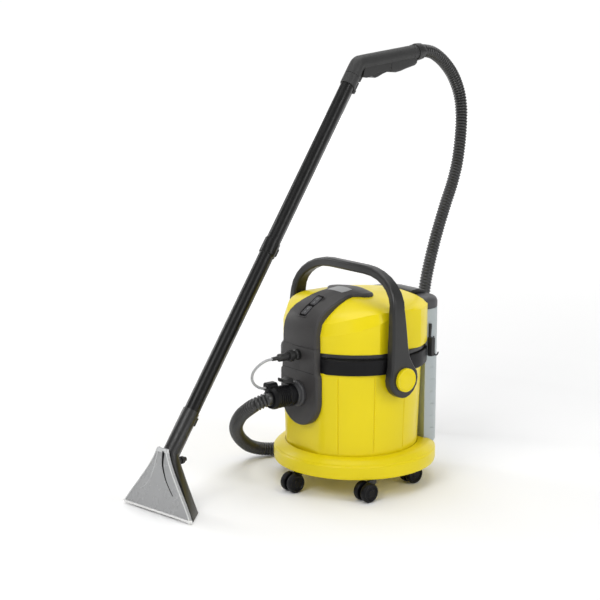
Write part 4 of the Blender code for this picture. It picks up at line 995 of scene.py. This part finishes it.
def make_bail_caps():
    """The dished yellow caps over the bail's pivots."""
    for name, sign in (("left", -1.0), ("right", 1.0)):
        low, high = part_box("bail_cap_" + name)
        middle = (low + high) / 2 - PLACE
        radius = (high.z - low.z) / 2
        reach = (high.x - low.x) / 2
        profile = [(0.002, -reach), (radius - 0.0004, -reach), (radius, -reach + 0.0006),
                   (radius, reach - 0.0012), (radius - 0.0012, reach), (radius - 0.0034, reach),
                   (radius - 0.0046, reach - 0.0012), (radius * 0.60, reach - 0.0013),
                   (radius * 0.56, reach - 0.0008), (radius * 0.30, reach - 0.0005),
                   (0.002, reach - 0.0005)]
        mesh = turned_mesh("dished_cap_" + name, profile, middle, (sign, 0, 0), 56)
        add_piece("dished_cap_" + name, mesh, "yellow", "machine", ["bail_cap_" + name], 30.0)


def make_housing():
    """The inlet housing: a shield with a bevelled face, the inlet's bore and a seam line."""
    def outline(inset, y):
        half = HOUSING_HALF_WIDTH - inset
        neck = HOUSING_NECK - inset
        points = [Vector((half, y, 0.2760)), Vector((half - 0.0008, y, 0.2825)),
                  Vector((neck + 0.0006, y, 0.2870)), Vector((neck, y, 0.2930)),
                  Vector((neck, y, 0.3460 - inset * 0.3)), Vector((-neck, y, 0.3460 - inset * 0.3)),
                  Vector((-neck, y, 0.2930)), Vector((-neck - 0.0006, y, 0.2870)),
                  Vector((-half + 0.0008, y, 0.2825)), Vector((-half, y, 0.2760))]
        for i in range(33):
            angle = math.pi + math.pi * i / 32
            points.append(Vector((half * math.cos(angle), y, HOUSING_FOOT + half * math.sin(angle))))
        return points

    loops = [outline(0.0, -0.1572), outline(0.0, -0.1690), outline(0.0010, -0.1716),
             outline(0.0030, -0.1732), outline(0.0050, -0.1736)]
    mesh = loft_mesh("inlet_shield", loops)
    bore = turned_mesh("inlet_bore", [(0.0228, 0.0), (0.0228, 0.04)], (0, -0.190, INLET_HEIGHT),
                       (0, 1, 0), 40)
    mesh = bored(mesh, bore)
    add_piece("inlet_shield", mesh, "console", "machine", ["inlet_housing"], 36.0)
    seam = [[Vector((x, y, z)) for y, z in ((-0.1728, 0.2878), (-0.1738, 0.2880), (-0.1738, 0.2890),
                                            (-0.1728, 0.2892))] for x in (-0.0565, 0.0565)]
    add_piece("housing_seam", loft_mesh("housing_seam", seam), "deep_black", "machine")


def make_tank_trim():
    """Moulded level marks and a hook on the tank's right side, and the strap on its lid."""
    for step in range(7):
        height = 0.115 + 0.030 * step
        depth = 0.0090 if step % 2 else 0.0140
        mark = [[Vector((x, y, z)) for y, z in ((0.1420, height), (0.1420 + depth, height),
                                                (0.1420 + depth, height + 0.0012),
                                                (0.1420, height + 0.0012))]
                for x in (0.1088, 0.1104)]
        name = "level_mark_%d" % step
        add_piece(name, loft_mesh(name, mark), "tank", "tank", (), 30.0)
    hook = [(0.1128, 0.1480, 0.3420), (0.1140, 0.1480, 0.3250), (0.1142, 0.1482, 0.3080),
            (0.1144, 0.1500, 0.2990), (0.1146, 0.1550, 0.2950), (0.1146, 0.1600, 0.2975),
            (0.1146, 0.1620, 0.3020)]
    mesh = tube_mesh("tank_hook", smooth_route(hook, 50), lambda travelled: 0.0016, 10)
    add_piece("tank_hook", mesh, "deep_black", "tank", (), 60.0)
    strap = []
    for y, high in ((0.1330, 0.4345), (0.1345, 0.4362), (0.1590, 0.4362), (0.1605, 0.4345)):
        strap.append([Vector((x, y, z)) for x, z in ((-0.0620, 0.4330), (-0.0610, high), (-0.0380, high),
                                                     (-0.0370, 0.4330))])
    piece = add_piece("lid_strap", loft_mesh("lid_strap", strap), "black", "tank", (), 30.0)
    soften(piece, 0.0005)


# ---------------------------------------------------------------- castors

def make_wheels():
    """Twin wheels with dished sides, a hub cap and a rounded tread."""
    half = [(0.0040, 0.0188), (0.0078, 0.0186), (0.0090, 0.0172), (0.0152, 0.0170),
            (0.0165, 0.0190), (0.0190, 0.0195), (0.0212, 0.0183), (0.0223, 0.0162),
            (0.0225, 0.0140), (0.0225, 0.0085), (0.0221, 0.0062), (0.0208, 0.0047),
            (0.0120, 0.0046), (0.0030, 0.0045)]
    profile = half + [(radius, -along) for radius, along in reversed(half)]
    for place, (x, y) in CASTOR_PLACES.items():
        name = "twin_wheels_" + place
        mesh = turned_mesh(name, profile, (x, y - CASTOR_TRAIL[place], WHEEL_RADIUS), (1, 0, 0), 40)
        add_piece(name, mesh, "deep_black", "wheels_" + place, ["castor_wheels_" + place], 40.0)


# ---------------------------------------------------------------- finishes of the frame's nodes

NODE_LOOKS = {
    "yellow": "base_ring container head_shell bail_cap_left bail_cap_right",
    "deep_black": "rim_band",
    "console": "console_top inlet_housing",
    "black": "machine_cuff cuff_lever coupling_socket coupling_sleeve coupling_plug bail_handle "
             "fill_flap tank_clip_left tank_clip_right tank_bracket_left tank_bracket_right "
             "nozzle_body spray_jet trigger handle_under latch_lower latch_middle latch_upper "
             "hose_collar motor_plate float_cage",
    "grey": "tank_lid inlet_port suction_motor water_pump pickup_tube",
    "wand": "wand_tube_lower wand_tube_upper",
    "grip": "handle_grip",
    "switch": "switch_suction switch_spray",
    "tank": "clean_tank",
    "clear": "nozzle_cover",
    "white": "float_cup",
    "rubber": "head_gasket cord_gland",
    "steel": "turbine spray_valve valve_stem",
    "fleece": "motor_filter",
}


def finish_nodes():
    """Give each node its material, and round its edges where they show."""
    looks = {node: look for look, names in NODE_LOOKS.items() for node in names.split()}
    for place in CASTOR_PLACES:
        looks["castor_fork_" + place] = "black"
        looks["castor_wheels_" + place] = "deep_black"
    widths = {"bail_handle": 0.0018, "base_ring": 0.0012, "tank_lid": 0.0016,
              "rim_band": 0.0009, "console_top": 0.0012, "inlet_housing": 0.0012}
    for node, look in looks.items():
        piece = NODES[node]
        piece.data.materials.clear()
        piece.data.materials.append(LOOKS[look])
        if piece.hide_render:
            continue
        weld = piece.modifiers.new("weld_seams", "WELD")
        weld.merge_threshold = 0.00003
        soften(piece, widths.get(node, 0.0006), 2)


make_camera()
make_studio()
make_hose()
make_spray_tube()
make_container()
make_head()
make_switch_trim()
make_patch()
make_wheels()
make_nozzle_cover()
make_handle()
make_cuff()
make_bail_caps()
make_housing()
make_tank_trim()
finish_nodes()
